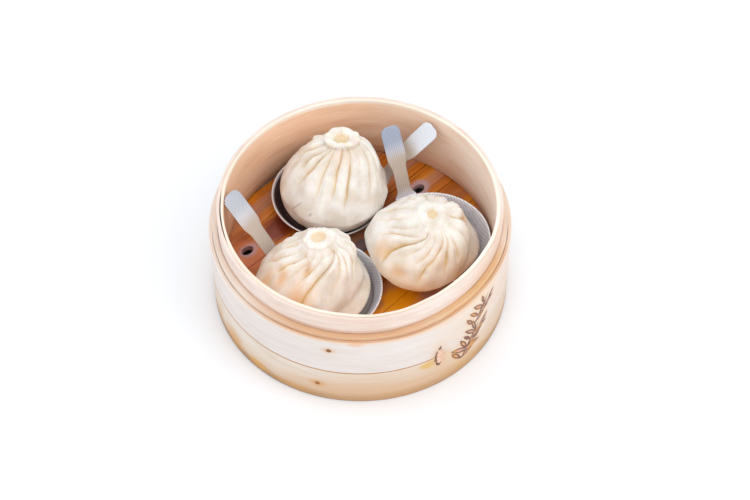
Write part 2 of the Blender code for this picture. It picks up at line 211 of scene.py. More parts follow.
# Lay a tint over a colour where all the masks meet.
def lay(tree, color, tint, *masks):
    factor = times(tree, *masks)
    made = add(tree, "Mix", {"data_type": "RGBA"})
    for number, value in ((0, factor), (6, color), (7, tint)):
        feed(tree, made.inputs[number], value)
    return made.outputs[2]


def tints(tree, factor, stops):
    made = add(tree, "ValToRGB", Fac=factor)
    elements = made.color_ramp.elements
    while len(elements) < len(stops):
        elements.new(0.5)
    for element, (place, color) in zip(elements, stops):
        element.position = place
        element.color = paint(color)
    return made.outputs["Color"]


def threeTints(tree, factor, edge, values):
    low, high = edge
    return tints(tree, factor, [(low, values["dark"]), (0.5, values["middle"]), (high, values["light"])])


def speckle(tree, vector, scale, detail=3.0, rough=0.5):
    made = add(tree, "TexNoise", Vector=vector, Scale=scale, Detail=detail, Roughness=rough)
    return made.outputs["Fac"]


def addRelief(tree, shader, height, strength, distance):      # relief of the surface, in metres
    relief = add(tree, "Bump", Height=height, Strength=strength, Distance=distance)
    feed(tree, shader.inputs["Normal"], relief.outputs["Normal"])


# The parts of a point's place, the place on the ground under it, and its distance from the axis.
def roundPlace(tree):
    parts = add(tree, "SeparateXYZ", Vector=add(tree, "TexCoord").outputs["Object"]).outputs
    flat = add(tree, "CombineXYZ", X=parts["X"], Y=parts["Y"]).outputs[0]
    return parts, flat, add(tree, "VectorMath", {"operation": "LENGTH"}, Vector=flat).outputs["Value"]


# Grain that runs round the basket: slow along the strip, quick up and outwards.
def roundGrain(tree, alongScale, lineScale):
    parts, flat, reach = roundPlace(tree)
    unit = add(tree, "VectorMath", {"operation": "NORMALIZE"}, Vector=flat).outputs["Vector"]
    along = add(tree, "SeparateXYZ", Vector=unit).outputs
    level = times(tree, plus(tree, parts["Z"], reach), lineScale)
    return add(tree, "CombineXYZ", X=times(tree, along["X"], alongScale),
               Y=times(tree, along["Y"], alongScale), Z=level).outputs[0]


# Millimetres round the wall from bearing 0, up, and from the axis.
def wallPlace(tree, radius):
    parts, flat, reach = roundPlace(tree)
    turn = calc(tree, "ARCTAN2", parts["Y"], parts["X"])
    return times(tree, turn, radius), times(tree, parts["Z"], 1000.0), times(tree, reach, 1000.0)


# How far inside a pointed leaf shape on the wall a point is, in millimetres.
def lensEdge(tree, around, up, middle, height, angle, length, width):
    cosine, sine = math.cos(math.radians(angle)), math.sin(math.radians(angle))
    a, b = minus(tree, around, middle), minus(tree, up, height)
    along = plus(tree, times(tree, a, cosine), times(tree, b, sine))
    side = minus(tree, times(tree, b, cosine), times(tree, a, sine))
    share = times(tree, along, 2.0 / length)
    full = minus(tree, 1.0, times(tree, share, share))
    return minus(tree, times(tree, full, width / 2.0), calc(tree, "ABSOLUTE", side))


# Split bamboo with its grain round the basket.
def bamboo(name, values):
    material, tree, shader = newMaterial(name)
    along, lines, radius = values["alongScale"], values["lineScale"], values["radius"]
    fine = speckle(tree, roundGrain(tree, along, lines), 1.0, 4.0, 0.6)
    wide = speckle(tree, roundGrain(tree, along * 0.45, lines * 0.16), 1.0, 3.0, 0.5)
    grain = plus(tree, times(tree, fine, 0.55), times(tree, wide, 0.45))
    color = threeTints(tree, grain, (0.34, 0.66), values)
    pores = speckle(tree, roundGrain(tree, along * 1.6, lines * 2.4), 1.0, 2.0)
    color = lay(tree, color, values["pore"], spread(tree, pores, 0.66, 0.78), values["poreShare"])
    around, up, reach = wallPlace(tree, radius)
    for start, end, share, tint in values.get("tones", ()):      # comes in over a range of heights
        color = lay(tree, color, tint, spread(tree, up, start, end, smooth=True),
                    spread(tree, wide, 0.35, 0.6, 0.75, 1.0), share)
    if "cutEdge" in values:                  # the strip's cut top edge is darker than its skin
        start, share, tint = values["cutEdge"]
        color = lay(tree, color, tint, spread(tree, reach, start, start - 0.3, smooth=True),
                    spread(tree, fine, 0.3, 0.6, 0.7, 1.0), share)
    for ringRadius, width, share, tint in values.get("rings", ()):      # lines between turns
        near = calc(tree, "ABSOLUTE", minus(tree, reach, ringRadius))
        color = lay(tree, color, tint, spread(tree, near, width, width * 0.3),
                    spread(tree, fine, 0.35, 0.55, 0.35, 1.0), share)
    # soft patches: stains, and in some looks painted light and painted shade
    for bearing, height, length, width, share, tint, soft, turn in values.get("stainAndLightPatches", ()):
        edge = lensEdge(tree, around, up, math.radians(bearing) * radius, height, turn, length, width)
        stray = times(tree, minus(tree, wide, 0.5), width * 1.2)
        mask = spread(tree, plus(tree, edge, stray), -soft * width, soft * width, smooth=True)
        color = lay(tree, color, tint, mask, share)
    if "seam" in values:                     # a darker brown-gold line along the seam, except where the joint is tight
        seam = values["seam"]
        near = calc(tree, "ABSOLUTE", minus(tree, up, seam["height"]))
        start, end = (math.radians(bearing) * radius for bearing in seam["tight"])
        ajar = calc(tree, "MAXIMUM", spread(tree, around, start + 0.6, start - 0.6),
                    spread(tree, around, end, end + 4.0))
        color = lay(tree, color, seam["color"], spread(tree, near, seam["width"], seam["width"] * 0.35,
                                                       smooth=True), ajar, seam["share"])
    depth = plus(tree, times(tree, fine, 0.7), times(tree, wide, 0.5))
    if "burn" in values:
        color, depth = burnSprig(tree, values["burn"], around, up, color, depth, fine, radius)
    feed(tree, shader.inputs["Base Color"], color)
    feed(tree, shader.inputs["Roughness"], spread(tree, fine, 0.3, 0.7, values["rough"] + 0.1,
                                                  values["rough"] - 0.08))
    shader.inputs["Specular IOR Level"].default_value = 0.4
    addRelief(tree, shader, depth, values["relief"], 0.0006)
    return material


# Leaves scorched into the bands, darkest along their outlines.
def burnSprig(tree, burn, around, up, color, depth, fine, radius):
    leaves = list(burn["stems"])
    for (firstBearing, firstHeight), (lastBearing, lastHeight), pairs, (length, width) in burn["leafRows"]:
        for pair in range(pairs):
            share = pair / (pairs - 1.0)
            bearing = firstBearing + share * (lastBearing - firstBearing)
            height = firstHeight + share * (lastHeight - firstHeight)
            small = (1.0 - 0.25 * share) * (1.0 + 0.22 * math.sin(1.9 * pair + length))
            stray = 17.0 * math.sin(2.3 * pair + length)
            for across, lift, angle in ((-2.7, 1.7, 136.0 - 14.0 * share + stray),
                                        (2.8, -0.6, 14.0 + 10.0 * share - stray)):
                leaves.append((bearing + across, height + lift, angle, length * small, width * small))
    edge = None
    for bearing, height, angle, length, width in leaves:
        leaf = lensEdge(tree, around, up, math.radians(bearing) * radius, height, angle, length, width)
        edge = leaf if edge is None else calc(tree, "MAXIMUM", edge, leaf)
    edge = plus(tree, edge, times(tree, minus(tree, fine, 0.5), 0.9))
    whole = spread(tree, edge, -0.25, 0.25, smooth=True)
    halo = spread(tree, edge, -2.2, 0.0, smooth=True)
    patchy = speckle(tree, add(tree, "TexCoord").outputs["Object"], 190.0, 2.0)
    outline = times(tree, whole, spread(tree, plus(tree, edge, times(tree, patchy, 2.2)), 2.3, 1.5,
                                        smooth=True))
    color = lay(tree, color, burn["halo"], halo, 0.4)
    fill = lay(tree, burn["inside"], burn["gold"], spread(tree, patchy, 0.46, 0.58))
    color = lay(tree, color, fill, whole, burn["share"])
    color = lay(tree, color, burn["outline"], outline, 0.9)
    return color, minus(tree, depth, times(tree, outline, 0.6))


# A soft patch of colour on a wall, used both for stains and for painted light and shade: its middle's
# bearing and height, its length and width in mm.
def stainAndLightPatch(bearing, height, length, width, share, color, soft=0.5, turn=0.0):
    return bearing, height, length, width, share, color, soft, turn


# In a look, a tone is the heights over which it comes in, its share and colour, and a ring is its
# radius, width, share and colour.
stripLook = {
    "radius": 75.0, "alongScale": 5.0, "lineScale": 1100.0, "poreShare": 0.25, "rough": 0.5,
    "relief": 0.14, "light": (229, 221, 216), "middle": (225, 215, 209), "dark": (219, 206, 198),
    "pore": (190, 158, 126),
}
seamLook = {"height": 23.65, "width": 0.62, "tight": (-60.5, -6.0), "share": 0.9, "color": (186, 130, 66)}
sprig = {
    "halo": (222, 174, 112), "inside": (214, 158, 140), "gold": (206, 140, 50),
    "outline": (82, 34, 20), "share": 0.85,
    "stems": [(-38.4, 39.0, 56.0, 15.0, 1.5), (-44.5, 20.0, 58.0, 22.0, 1.8)],
    "leafRows": [        # first bearing and height, last bearing and height, pairs, length and width
        ((-42.8, 33.6), (-35.6, 43.0), 4, (10.4, 2.9)),
        ((-49.0, 12.8), (-40.2, 28.0), 6, (12.0, 3.1)),
    ],
}
stitchStainAndShade = [
    stainAndLightPatch(-59.6, 23.4, 12, 15, 0.6, (220, 176, 124)),
    # painted shadow: a dark outline round the stitch
    stainAndLightPatch(-59.8, 23.65, 12.8, 6, 0.8, (132, 78, 44), soft=0.1, turn=90),
    # painted shade in the two slits the stitch runs through
    stainAndLightPatch(-59.6, 29.4, 4.4, 2.2, 0.95, (96, 50, 30), soft=0.2, turn=76),
    stainAndLightPatch(-60.1, 17.8, 4.4, 2.2, 0.95, (96, 50, 30), soft=0.2, turn=104),
]
upperLook = dict(
    stripLook, seam=seamLook, burn=sprig, cutEdge=(74.9, 0.75, (218, 176, 138)),
    tones=[(46.6, 48.4, 0.55, (232, 194, 158))],
    rings=[(73.5, 0.25, 0.8, (176, 124, 84)), (74.3, 0.2, 0.6, (186, 138, 98))],
    stainAndLightPatches=[
        stainAndLightPatch(-40, 34, 64, 36, 0.45, (230, 202, 172)),
        stainAndLightPatch(-8, 34, 60, 30, 0.3, (222, 180, 150)),
        stainAndLightPatch(-102, 41, 7, 3.4, 0.8, (218, 164, 96), soft=0.8),
        # painted light: paler along the top edge on the left, where the light falls
        stainAndLightPatch(-168, 48, 90, 7, 0.75, (238, 226, 216)),
        stainAndLightPatch(192, 48, 90, 7, 0.75, (238, 226, 216)),
        stainAndLightPatch(2, 49.5, 56, 6, 0.7, (236, 220, 206)),
        stainAndLightPatch(-92, 47.4, 9, 2, 0.5, (230, 160, 96)),
    ] + stitchStainAndShade)
lowerLook = dict(
    stripLook, seam=seamLook, burn=sprig,
    light=(228, 217, 205), middle=(222, 207, 192), dark=(212, 190, 166),
    tones=[(17.0, 5.0, 0.35, (212, 172, 126)), (8.0, 2.0, 0.9, (172, 122, 66)),
           # painted shadow along the bottom edge, darkest at the foot
           (0.9, 0.3, 0.7, (104, 72, 48))],
    stainAndLightPatches=[
        stainAndLightPatch(-78, 8, 110, 22, 0.6, (206, 160, 112)),
        stainAndLightPatch(-147, 8, 17, 8, 0.75, (214, 154, 66)),
        stainAndLightPatch(-133, 4.6, 13, 6, 0.75, (216, 158, 74)),
        stainAndLightPatch(-117, 4, 20, 5, 0.5, (210, 160, 92)),
        stainAndLightPatch(-161, 10, 10, 6, 0.5, (216, 164, 92)),
        stainAndLightPatch(60, 6, 70, 12, 0.5, (206, 156, 92)),
        stainAndLightPatch(-64.5, 20.3, 9, 5.5, 0.85, (216, 172, 78)),
        stainAndLightPatch(-47, 5, 30, 9, 0.6, (204, 152, 76)),
        stainAndLightPatch(-106.7, 11.8, 6.6, 3.2, 0.7, (206, 152, 88), soft=0.8),
        stainAndLightPatch(-84.7, 19.5, 16, 5, 0.25, (214, 172, 132)),
        stainAndLightPatch(-20, 12, 50, 24, 0.35, (196, 150, 106)),
    ] + stitchStainAndShade)
collarLook = dict(
    stripLook, radius=70.4, light=(238, 225, 216), middle=(233, 215, 204), dark=(222, 196, 180),
    tones=[(54.0, 51.5, 0.55, (212, 170, 138))],
    stainAndLightPatches=[
        stainAndLightPatch(-25, 58, 50, 16, 0.45, (216, 172, 132)),
        stainAndLightPatch(-95, 60, 50, 4, 0.3, (220, 178, 150)),
    ])
liningLook = dict(
    stripLook, radius=67.1, alongScale=4.5, poreShare=0.3, rough=0.52, relief=0.2,
    light=(251, 218, 191), middle=(246, 205, 174), dark=(232, 186, 150), pore=(186, 132, 92),
    # painted shade: the wall darkens towards the floor; the last tone is a painted highlight along the rim
    tones=[(40.0, 25.0, 0.3, (206, 152, 110)), (30.0, 24.5, 0.5, (148, 98, 70)),
           (60.4, 61.6, 0.9, (246, 234, 220))],
    stainAndLightPatches=[
        # the next three patches are painted light on the right and front of the inner wall
        stainAndLightPatch(55, 42, 70, 50, 0.6, (250, 222, 198)),
        stainAndLightPatch(12, 50, 96, 50, 0.85, (252, 236, 222)),
        stainAndLightPatch(-25, 48, 60, 30, 0.8, (252, 244, 236)),
        stainAndLightPatch(160, 48, 60, 24, 0.3, (220, 168, 120)),
    ])
coreLook = dict(
    stripLook, radius=72.0, alongScale=8.0, lineScale=2600.0, poreShare=0.4, rough=0.6, relief=0.35,
    light=(236, 214, 194), middle=(228, 202, 178), dark=(210, 176, 146), pore=(160, 112, 76),
    rings=[(71.1, 0.26, 0.8, (158, 106, 70)), (71.9, 0.2, 0.6, (176, 124, 84)),
           (72.6, 0.22, 0.7, (166, 114, 76))],
    stainAndLightPatches=[
        # painted light: paler on the left, where the light falls
        stainAndLightPatch(-165, 50, 100, 30, 0.75, (238, 224, 212)),
        stainAndLightPatch(195, 50, 100, 30, 0.75, (238, 224, 212)),
        stainAndLightPatch(6, 54, 60, 24, 0.7, (236, 216, 198)),
        stainAndLightPatch(-92, 51, 90, 24, 0.7, (216, 166, 122)),
        stainAndLightPatch(-40, 53, 46, 24, 0.75, (220, 170, 108)),
    ])

bandPaint = bamboo("upperBandBamboo", upperLook)
lowerPaint = bamboo("lowerBandBamboo", lowerLook)
collarPaint = bamboo("collarBamboo", collarLook)
liningPaint = bamboo("liningBamboo", liningLook)
corePaint = bamboo("coreBamboo", coreLook)
print("bamboo finishes made")


# A soft oval on the boards, its edge broken by the mottling.
def ovalMask(tree, board, middle, size, mottle):
    centred = add(tree, "VectorMath", {"operation": "SUBTRACT"})
    feed(tree, centred.inputs[0], board)
    centred.inputs[1].default_value = (middle[0] * mm, middle[1] * mm, 0.0)
    scaled = add(tree, "VectorMath", {"operation": "MULTIPLY"})
    feed(tree, scaled.inputs[0], centred.outputs[0])
    scaled.inputs[1].default_value = (1.0 / (size[0] * mm), 1.0 / (size[1] * mm), 0.0)
    away = add(tree, "VectorMath", {"operation": "LENGTH"}, Vector=scaled.outputs[0]).outputs["Value"]
    away = plus(tree, away, times(tree, minus(tree, mottle, 0.5), 1.4))
    return spread(tree, away, 1.15, 0.65, smooth=True)


# Oiled bamboo boards with the grain along them.
def boardPaint(name, values):
    material, tree, shader = newMaterial(name)
    place = add(tree, "TexCoord").outputs["Object"]
    bearing = math.radians(values["bearing"])
    turned = add(tree, "Mapping", {"vector_type": "TEXTURE"}, Vector=place)
    turned.inputs["Rotation"].default_value = (0.0, 0.0, bearing)
    board = turned.outputs[0]

    def streaks(along, across, detail):
        stretched = add(tree, "Mapping", Vector=board)
        stretched.inputs["Scale"].default_value = (along, across, across)
        return speckle(tree, stretched.outputs[0], 1.0, detail, 0.6)

    fine = streaks(22.0, 900.0, 4.0)
    wide = streaks(14.0, 160.0, 3.0)
    mottle = speckle(tree, place, 45.0, 3.0)
    grain = plus(tree, times(tree, fine, 0.5), times(tree, wide, 0.5))
    color = threeTints(tree, grain, (0.33, 0.68), values)
    color = lay(tree, color, values["mottle"], spread(tree, mottle, 0.42, 0.68, 0.0, values["mottleShare"]))
    if "bleachAndSheen" in values:                   # the crown of each slat is lighter lilac-grey: bleached by steam, with a painted sheen
        bleachAndSheen = values["bleachAndSheen"]
        across = times(tree, add(tree, "SeparateXYZ", Vector=board).outputs["Y"], 1000.0)
        turns = calc(tree, "DIVIDE", minus(tree, across, bleachAndSheen["middle"]), bleachAndSheen["pitch"])
        away = minus(tree, calc(tree, "FRACT", plus(tree, turns, 20.5)), 0.5)
        away = plus(tree, calc(tree, "ABSOLUTE", away), times(tree, minus(tree, wide, 0.5), 0.35))
        color = lay(tree, color, bleachAndSheen["color"],
                    spread(tree, away, bleachAndSheen["wide"] + 0.09, bleachAndSheen["wide"] - 0.09, smooth=True),
                    spread(tree, speckle(tree, place, 30.0, 2.0), 0.36, 0.56, 0.35, 1.0), bleachAndSheen["share"])
    for spot, size, share, tint in values.get("spots", ()):
        middle = Matrix.Rotation(-bearing, 2) @ Vector(spot)
        color = lay(tree, color, tint, ovalMask(tree, board, middle, size, mottle), share)
    # painted highlight round each hole's rounded edge
    for middle in values.get("rings", ()):
        ring = ovalMask(tree, board, middle, values["holeHighlightSize"], mottle)
        color = lay(tree, color, values["holeHighlightColor"], ring, 0.85)
    feed(tree, shader.inputs["Base Color"], color)
    feed(tree, shader.inputs["Roughness"], spread(tree, grain, 0.35, 0.65, values["rough"] + 0.12,
                                                  values["rough"] - 0.06))
    shader.inputs["Specular IOR Level"].default_value = values["shine"]
    shader.inputs["Coat Weight"].default_value = values["coat"]
    shader.inputs["Coat Roughness"].default_value = 0.22
    addRelief(tree, shader, grain, values["relief"], 0.0008)
    return material


boardLook = {"bearing": 45.0, "mottleShare": 0.65, "relief": 0.4}
slatLook = dict(
    boardLook, light=(236, 152, 28), middle=(206, 116, 18), dark=(146, 74, 14), mottle=(140, 58, 24),
    rough=0.34, shine=0.5, coat=0.15,
    # lilac-grey crowns: steam bleaching with a painted sheen
    bleachAndSheen={"middle": 7.4, "pitch": 16.9, "wide": 0.2, "share": 0.6, "color": (180, 140, 124)},
    spots=[         # place, half size in mm along and across the boards, share and colour
        ((15.0, -36.0), (20.0, 14.0), 0.9, (246, 160, 10)),
        ((8.0, -33.0), (4.5, 4.0), 0.55, (150, 104, 84)),
        # painted sheen, like the slats' crowns
        ((50.0, 22.0), (4.0, 14.0), 0.5, (176, 140, 124)),
        ((-34.0, 46.0), (14.0, 8.0), 0.55, (128, 96, 96)),
        ((-57.0, -2.0), (9.0, 16.0), 0.75, (226, 134, 84)),
        # painted shadow
        ((-41.0, 17.0), (13.0, 7.0), 0.85, (112, 16, 8)),
        ((-46.0, 26.0), (9.0, 4.0), 0.25, (232, 146, 34)),
        # painted highlight
        ((0.5, 3.3), (6.0, 4.0), 0.8, (118, 110, 124)),
        ((46.0, 34.0), (14.0, 6.0), 0.6, (180, 96, 16)),
    ],
    rings=[(-39.6, 41.15), (50.6, 7.4)], holeHighlightSize=(6.2, 4.6), holeHighlightColor=(196, 164, 172))     # painted highlight on the holes' rounded edges
underLook = dict(
    boardLook, light=(222, 176, 124), middle=(204, 152, 100), dark=(168, 114, 68), mottle=(150, 96, 58),
    rough=0.6, shine=0.35, coat=0.0)
pegLook = dict(
    underLook, bearing=0.0, shine=0.3,
    light=(190, 128, 72), middle=(158, 102, 56), dark=(118, 72, 42), mottle=(120, 78, 48))
stitchLook = dict(
    underLook, bearing=-59.8, mottleShare=0.6,
    light=(238, 212, 196), middle=(230, 190, 168), dark=(190, 134, 100), mottle=(206, 150, 96))
slatPaint = boardPaint("oiledSlatBamboo", slatLook)
underPaint = boardPaint("battenBamboo", underLook)
stitchPaint = boardPaint("stitchBamboo", stitchLook)
pegPaint = boardPaint("pegBamboo", pegLook)


# Thin pressed steel with a fine embossed grid of dots; its bowl carries painted shade and dark reflection
# over a little broth film, and its rim a painted highlight.
def steelPaint(name, values, *bands):
    material, tree, shader = newMaterial(name)
    flat = add(tree, "UVMap", {"uv_map": "flatPattern"}).outputs["UV"]
    parts = add(tree, "SeparateXYZ", Vector=flat).outputs
    waves = [calc(tree, "COSINE", times(tree, parts[axis], math.tau * 1000.0 / values["pitch"]))
             for axis in ("X", "Y")]
    raised = spread(tree, plus(tree, *waves), 0.0, 1.7, smooth=True)
    reach = add(tree, "VectorMath", {"operation": "LENGTH"}, Vector=flat).outputs["Value"]
    reach = times(tree, reach, 1000.0)
    smear = speckle(tree, add(tree, "TexCoord").outputs["Object"], 60.0, 3.0)
    color = tints(tree, smear, [(0.35, values["dark"]), (0.65, values["light"])])
    for start, end, share, tint in bands:    # each over a range of distances from the bowl's middle
        color = lay(tree, color, tint, spread(tree, reach, *start, smooth=True),
                    spread(tree, reach, *end, 1.0, 0.0, smooth=True), share)
    color = lay(tree, color, values["dot"], raised, values["dotShare"])
    feed(tree, shader.inputs["Base Color"], color)
    shader.inputs["Metallic"].default_value = values["metal"]
    feed(tree, shader.inputs["Roughness"], spread(tree, smear, 0.3, 0.7, values["rough"] - 0.05,
                                                  values["rough"] + 0.1))
    addRelief(tree, shader, raised, 0.45, 0.00018)
    return material


steelLook = {"pitch": 1.1, "dark": (214, 210, 216), "light": (238, 236, 242), "metal": 0.2,
             "dot": (104, 104, 118), "rough": 0.34}
# painted highlight along the rim
rimHighlight = ((28.6, 28.95), (29.5, 29.9), 0.9, (252, 252, 254))
stemTint = ((30.5, 36.0), (50.0, 60.0), 0.85, (186, 166, 144))
trayLooks = {     # the outer edge, share and colour of the dark film in the bowl, painted shade and dark reflection over a little broth, the handle's tip, and the dots' share
    "trayBack": ((27.8, 28.7), 0.95, (68, 34, 32), (226, 230, 238), 0.22),
    "trayRight": ((24.8, 25.6), 0.3, (150, 132, 120), (150, 162, 184), 0.45),
    "trayLeft": ((24.9, 25.9), 0.6, (112, 92, 66), (182, 186, 196), 0.36),
}
trayPaints = {}
for trayName, (filmAndShadeEdge, filmAndShadeShare, filmAndShadeColor, tipColor, dotShare) in trayLooks.items():
    trayPaints[trayName] = steelPaint(
        trayName + "Steel", dict(steelLook, dotShare=dotShare),
        ((1.0, 2.0), filmAndShadeEdge, filmAndShadeShare, filmAndShadeColor), rimHighlight, stemTint,
        ((50.0, 62.0), (90.0, 91.0), 0.9, tipColor))


# Steamed dough: pale and damp, with painted warm shade in its folds and mouth, warm patches where the
# filling shows through with painted bounce light, and painted shade in a slit, a dimple and on shaded sides
# beside a small speck.
def doughPaint(values):
    material, tree, shader = newMaterial("steamedDough")
    creaseShade, brothAndBounce, speckAndShade = (add(tree, "Attribute", {"attribute_name": name}).outputs["Fac"]
                          for name in ("creaseShade", "brothAndBounce", "speckAndShade"))
    place = add(tree, "TexCoord").outputs["Object"]
    cloudy = speckle(tree, place, 120.0, 3.0)
    small = speckle(tree, place, 900.0, 3.0, 0.6)
    color = tints(tree, cloudy, [(0.35, values["shade"]), (0.6, values["light"])])
    # filling with painted bounce light, then painted warm shade in folds and mouth, then painted shade
    # marks
    color = lay(tree, color, values["brothAndBounce"], brothAndBounce, spread(tree, cloudy, 0.3, 0.7, 0.7, 1.0))
    color = lay(tree, color, values["creaseShade"], creaseShade, values["creaseShadeShare"])
    color = lay(tree, color, values["speckAndShade"], speckAndShade)
    feed(tree, shader.inputs["Base Color"], color)
    shader.inputs["Subsurface Weight"].default_value = values["glow"]
    shader.inputs["Subsurface Radius"].default_value = (1.0, 0.62, 0.36)
    shader.inputs["Subsurface Scale"].default_value = 0.0028
    feed(tree, shader.inputs["Roughness"], spread(tree, cloudy, 0.3, 0.7, values["rough"] - 0.06,
                                                  values["rough"] + 0.08))
    shader.inputs["Specular IOR Level"].default_value = 0.45
    addRelief(tree, shader, plus(tree, times(tree, small, 0.35), cloudy), 0.16, 0.0008)
    return material


doughLook = {"light": (240, 236, 230), "shade": (224, 214, 201), "creaseShade": (228, 184, 92), "creaseShadeShare": 0.8,
             "brothAndBounce": (226, 170, 98), "speckAndShade": (132, 92, 76), "glow": 0.5, "rough": 0.42}
doughPaintwork = doughPaint(doughLook)
print("steel, board and dough finishes made")


hoops = {       # radii, heights, rounding of the edges, and how far they are out of true
    "liningHoop": {
        "node": "lining", "inner": 67.1, "outer": 68.78, "low": 24.2, "high": 62.7, "round": 0.18,
        "openJoint": (-173.0, 16.0, 0.5, 8.0), "sway": 0.12, "nick": 0.2, "rise": "rim", "seed": 1.0,
        "paint": liningPaint, "slot": "bamboo_lining"},
    "collarHoop": {
        "node": "collar", "inner": 68.8, "outer": 70.4, "low": 24.2, "high": 62.6, "round": 0.2,
        "sway": 0.12, "nick": 0.12, "rise": "rim", "seed": 1.0, "paint": collarPaint,
        "slot": "pale_bamboo"},
    "coreHoop": {
        "node": "core_hoop", "inner": 70.5, "outer": 73.08, "low": 0.0, "high": 49.2, "round": 0.2,
        "sway": 0.05, "nick": 0.12, "rise": "core", "seed": 3.0, "paint": corePaint, "slot": "bamboo_core"},
    "upperBand": {
        "node": "upper_band", "inner": 73.2, "outer": 75.0, "low": 23.7, "high": 48.0, "round": 0.25,
        "sway": 0.08, "nick": 0.12, "rise": "band", "seed": 5.0, "paint": bandPaint, "slot": "pale_bamboo"},
    "lowerBand": {
        "node": "lower_band", "inner": 73.2, "outer": 75.0, "low": 0.0, "high": 23.6, "round": 0.16,
        "sway": 0.08, "nick": 0.06, "seed": 5.0, "paint": lowerPaint, "slot": "pale_bamboo"},
    "floorRing": {
        "node": "floor_ring", "inner": 67.6, "outer": 70.4, "low": 14.2, "high": 20.2, "round": 0.4,
        "sway": 0.05, "nick": 0.1, "seed": 6.0, "paint": corePaint, "slot": "bamboo_core"},
}
hoopSteps = 288

# How far the top of a wall rises above its drawn height, as (bearing, millimetres).
rises = {
    "rim": [(-170, 0.0), (-130, -0.5), (-100, -0.7), (-84, -1.5), (-76, -0.9), (-60, 1.0), (-45, 2.3),
            (-30, 2.1), (-18, 0.5), (-6, -0.9), (25, 0.0), (110, 0.3)],
    "core": [(-170, 0.8), (-150, 2.2), (-130, 2.0), (-90, 1.2), (-80, 1.4), (-70, 2.7), (-60, 4.0),
             (-48, 4.9), (-30, 5.2), (-8, 4.6), (40, 2.6), (120, 2.0)],
    "band": [(-150, -0.5), (-110, 0.4), (-80, 0.6), (-70, 1.0), (-60, 1.8), (-50, 2.6), (-32, 3.3),
             (-20, 3.0), (-8, 1.2), (30, 0.5), (120, 0.0)],
}


def riseAt(table, bearing):
    bearing = (bearing - table[0][0]) % 360.0 + table[0][0]
    rows = table + [(table[0][0] + 360.0, table[0][1])]
    for (start, low), (end, high) in zip(rows, rows[1:]):
        if bearing <= end:
            return low + (high - low) * ease((bearing - start) / (end - start))
    return rows[-1][1]


def makeHoop(name, values):
    middle = 0.5 * (values["low"] + values["high"])
    width = 0.5 * (values["inner"] + values["outer"])
    shape = spinLine([(values["outer"], values["high"]), (values["inner"], values["high"]),
                      (values["inner"], values["low"]), (values["outer"], values["low"])],
                     hoopSteps, closed=True)
    rings = [edge for edge in shape.edges
             if abs(edge.verts[0].co.xy.length - edge.verts[1].co.xy.length) < 0.001
             and abs(edge.verts[0].co.z - edge.verts[1].co.z) < 0.001]
    bevelEdges(shape, rings, values["round"], 3)
    for vert in shape.verts:
        outward = Vector((vert.co.x, vert.co.y, 0.0)).normalized()
        outside = vert.co.xy.length > width
        bearing = math.degrees(math.atan2(outward.y, outward.x))
        slow = unevenness(outward, 1.7, values["seed"] * 3.1 + (0.6 if outside else 0.0))
        quick = unevenness(outward, 11.0, values["seed"] * 5.3)
        top = vert.co.z > middle
        vert.co += outward * values["sway"] * slow * 2.0
        if top:
            vert.co.z += values["nick"] * quick
            if "openJoint" in values and outside:      # the lining stands off the collar here
                middleTurn, halfTurn, gap, fade = values["openJoint"]
                vert.co -= outward * gap * ease((halfTurn - abs(apart(bearing, middleTurn))) / fade)
            if "rise" in values:
                vert.co.z += riseAt(rises[values["rise"]], bearing)
        elif values["low"] > 1.0:
            vert.co.z += 0.1 * values["nick"] * quick
    finishPiece(name, shape, values["paint"], values["node"])


for hoopName, hoopValues in hoops.items():
    makeHoop(hoopName, hoopValues)
print("hoops made")


pegs = {"radius": 1.25, "outer": 75.1, "length": 3.6, "bearings": (-102.0, 18.0, 138.0),
        "rows": {"upper": (41.0, 0.0), "lower": (11.8, -4.7)},      # height, and turn from the bearings
        "steps": ((0.3, 0.12), (0.5, -0.06)), "uneven": 0.12}

for rowName, (pegHeight, pegTurn) in pegs["rows"].items():
    for pegNumber, pegBearing in enumerate(pegs["bearings"], start=1):
        turn = pegBearing + pegTurn
        place = (Matrix.Translation(polar(pegs["outer"] - pegs["length"] / 2.0, turn, pegHeight))
                 @ Matrix.Rotation(math.radians(turn), 4, "Z")
                 @ Matrix.Rotation(math.radians(90.0), 4, "Y"))
        shape = bmesh.new()
        bmesh.ops.create_cone(shape, cap_ends=True, segments=32, radius1=pegs["radius"],
                              radius2=pegs["radius"], depth=pegs["length"])
        for inward, upward in pegs["steps"]:
            caps = [face for face in shape.faces if len(face.verts) > 4]
            bmesh.ops.inset_individual(shape, faces=caps, thickness=inward, depth=upward)
        for vert in shape.verts:
            vert.co.xy *= 1.0 + pegs["uneven"] * unevenness(vert.co, 1.3, pegNumber * 4.0 + pegHeight)
        bmesh.ops.transform(shape, matrix=place, verts=shape.verts)
        finishPiece(f"{rowName}Peg{pegNumber}", shape, pegPaint,
                    f"peg_{rowName}_{pegNumber}")

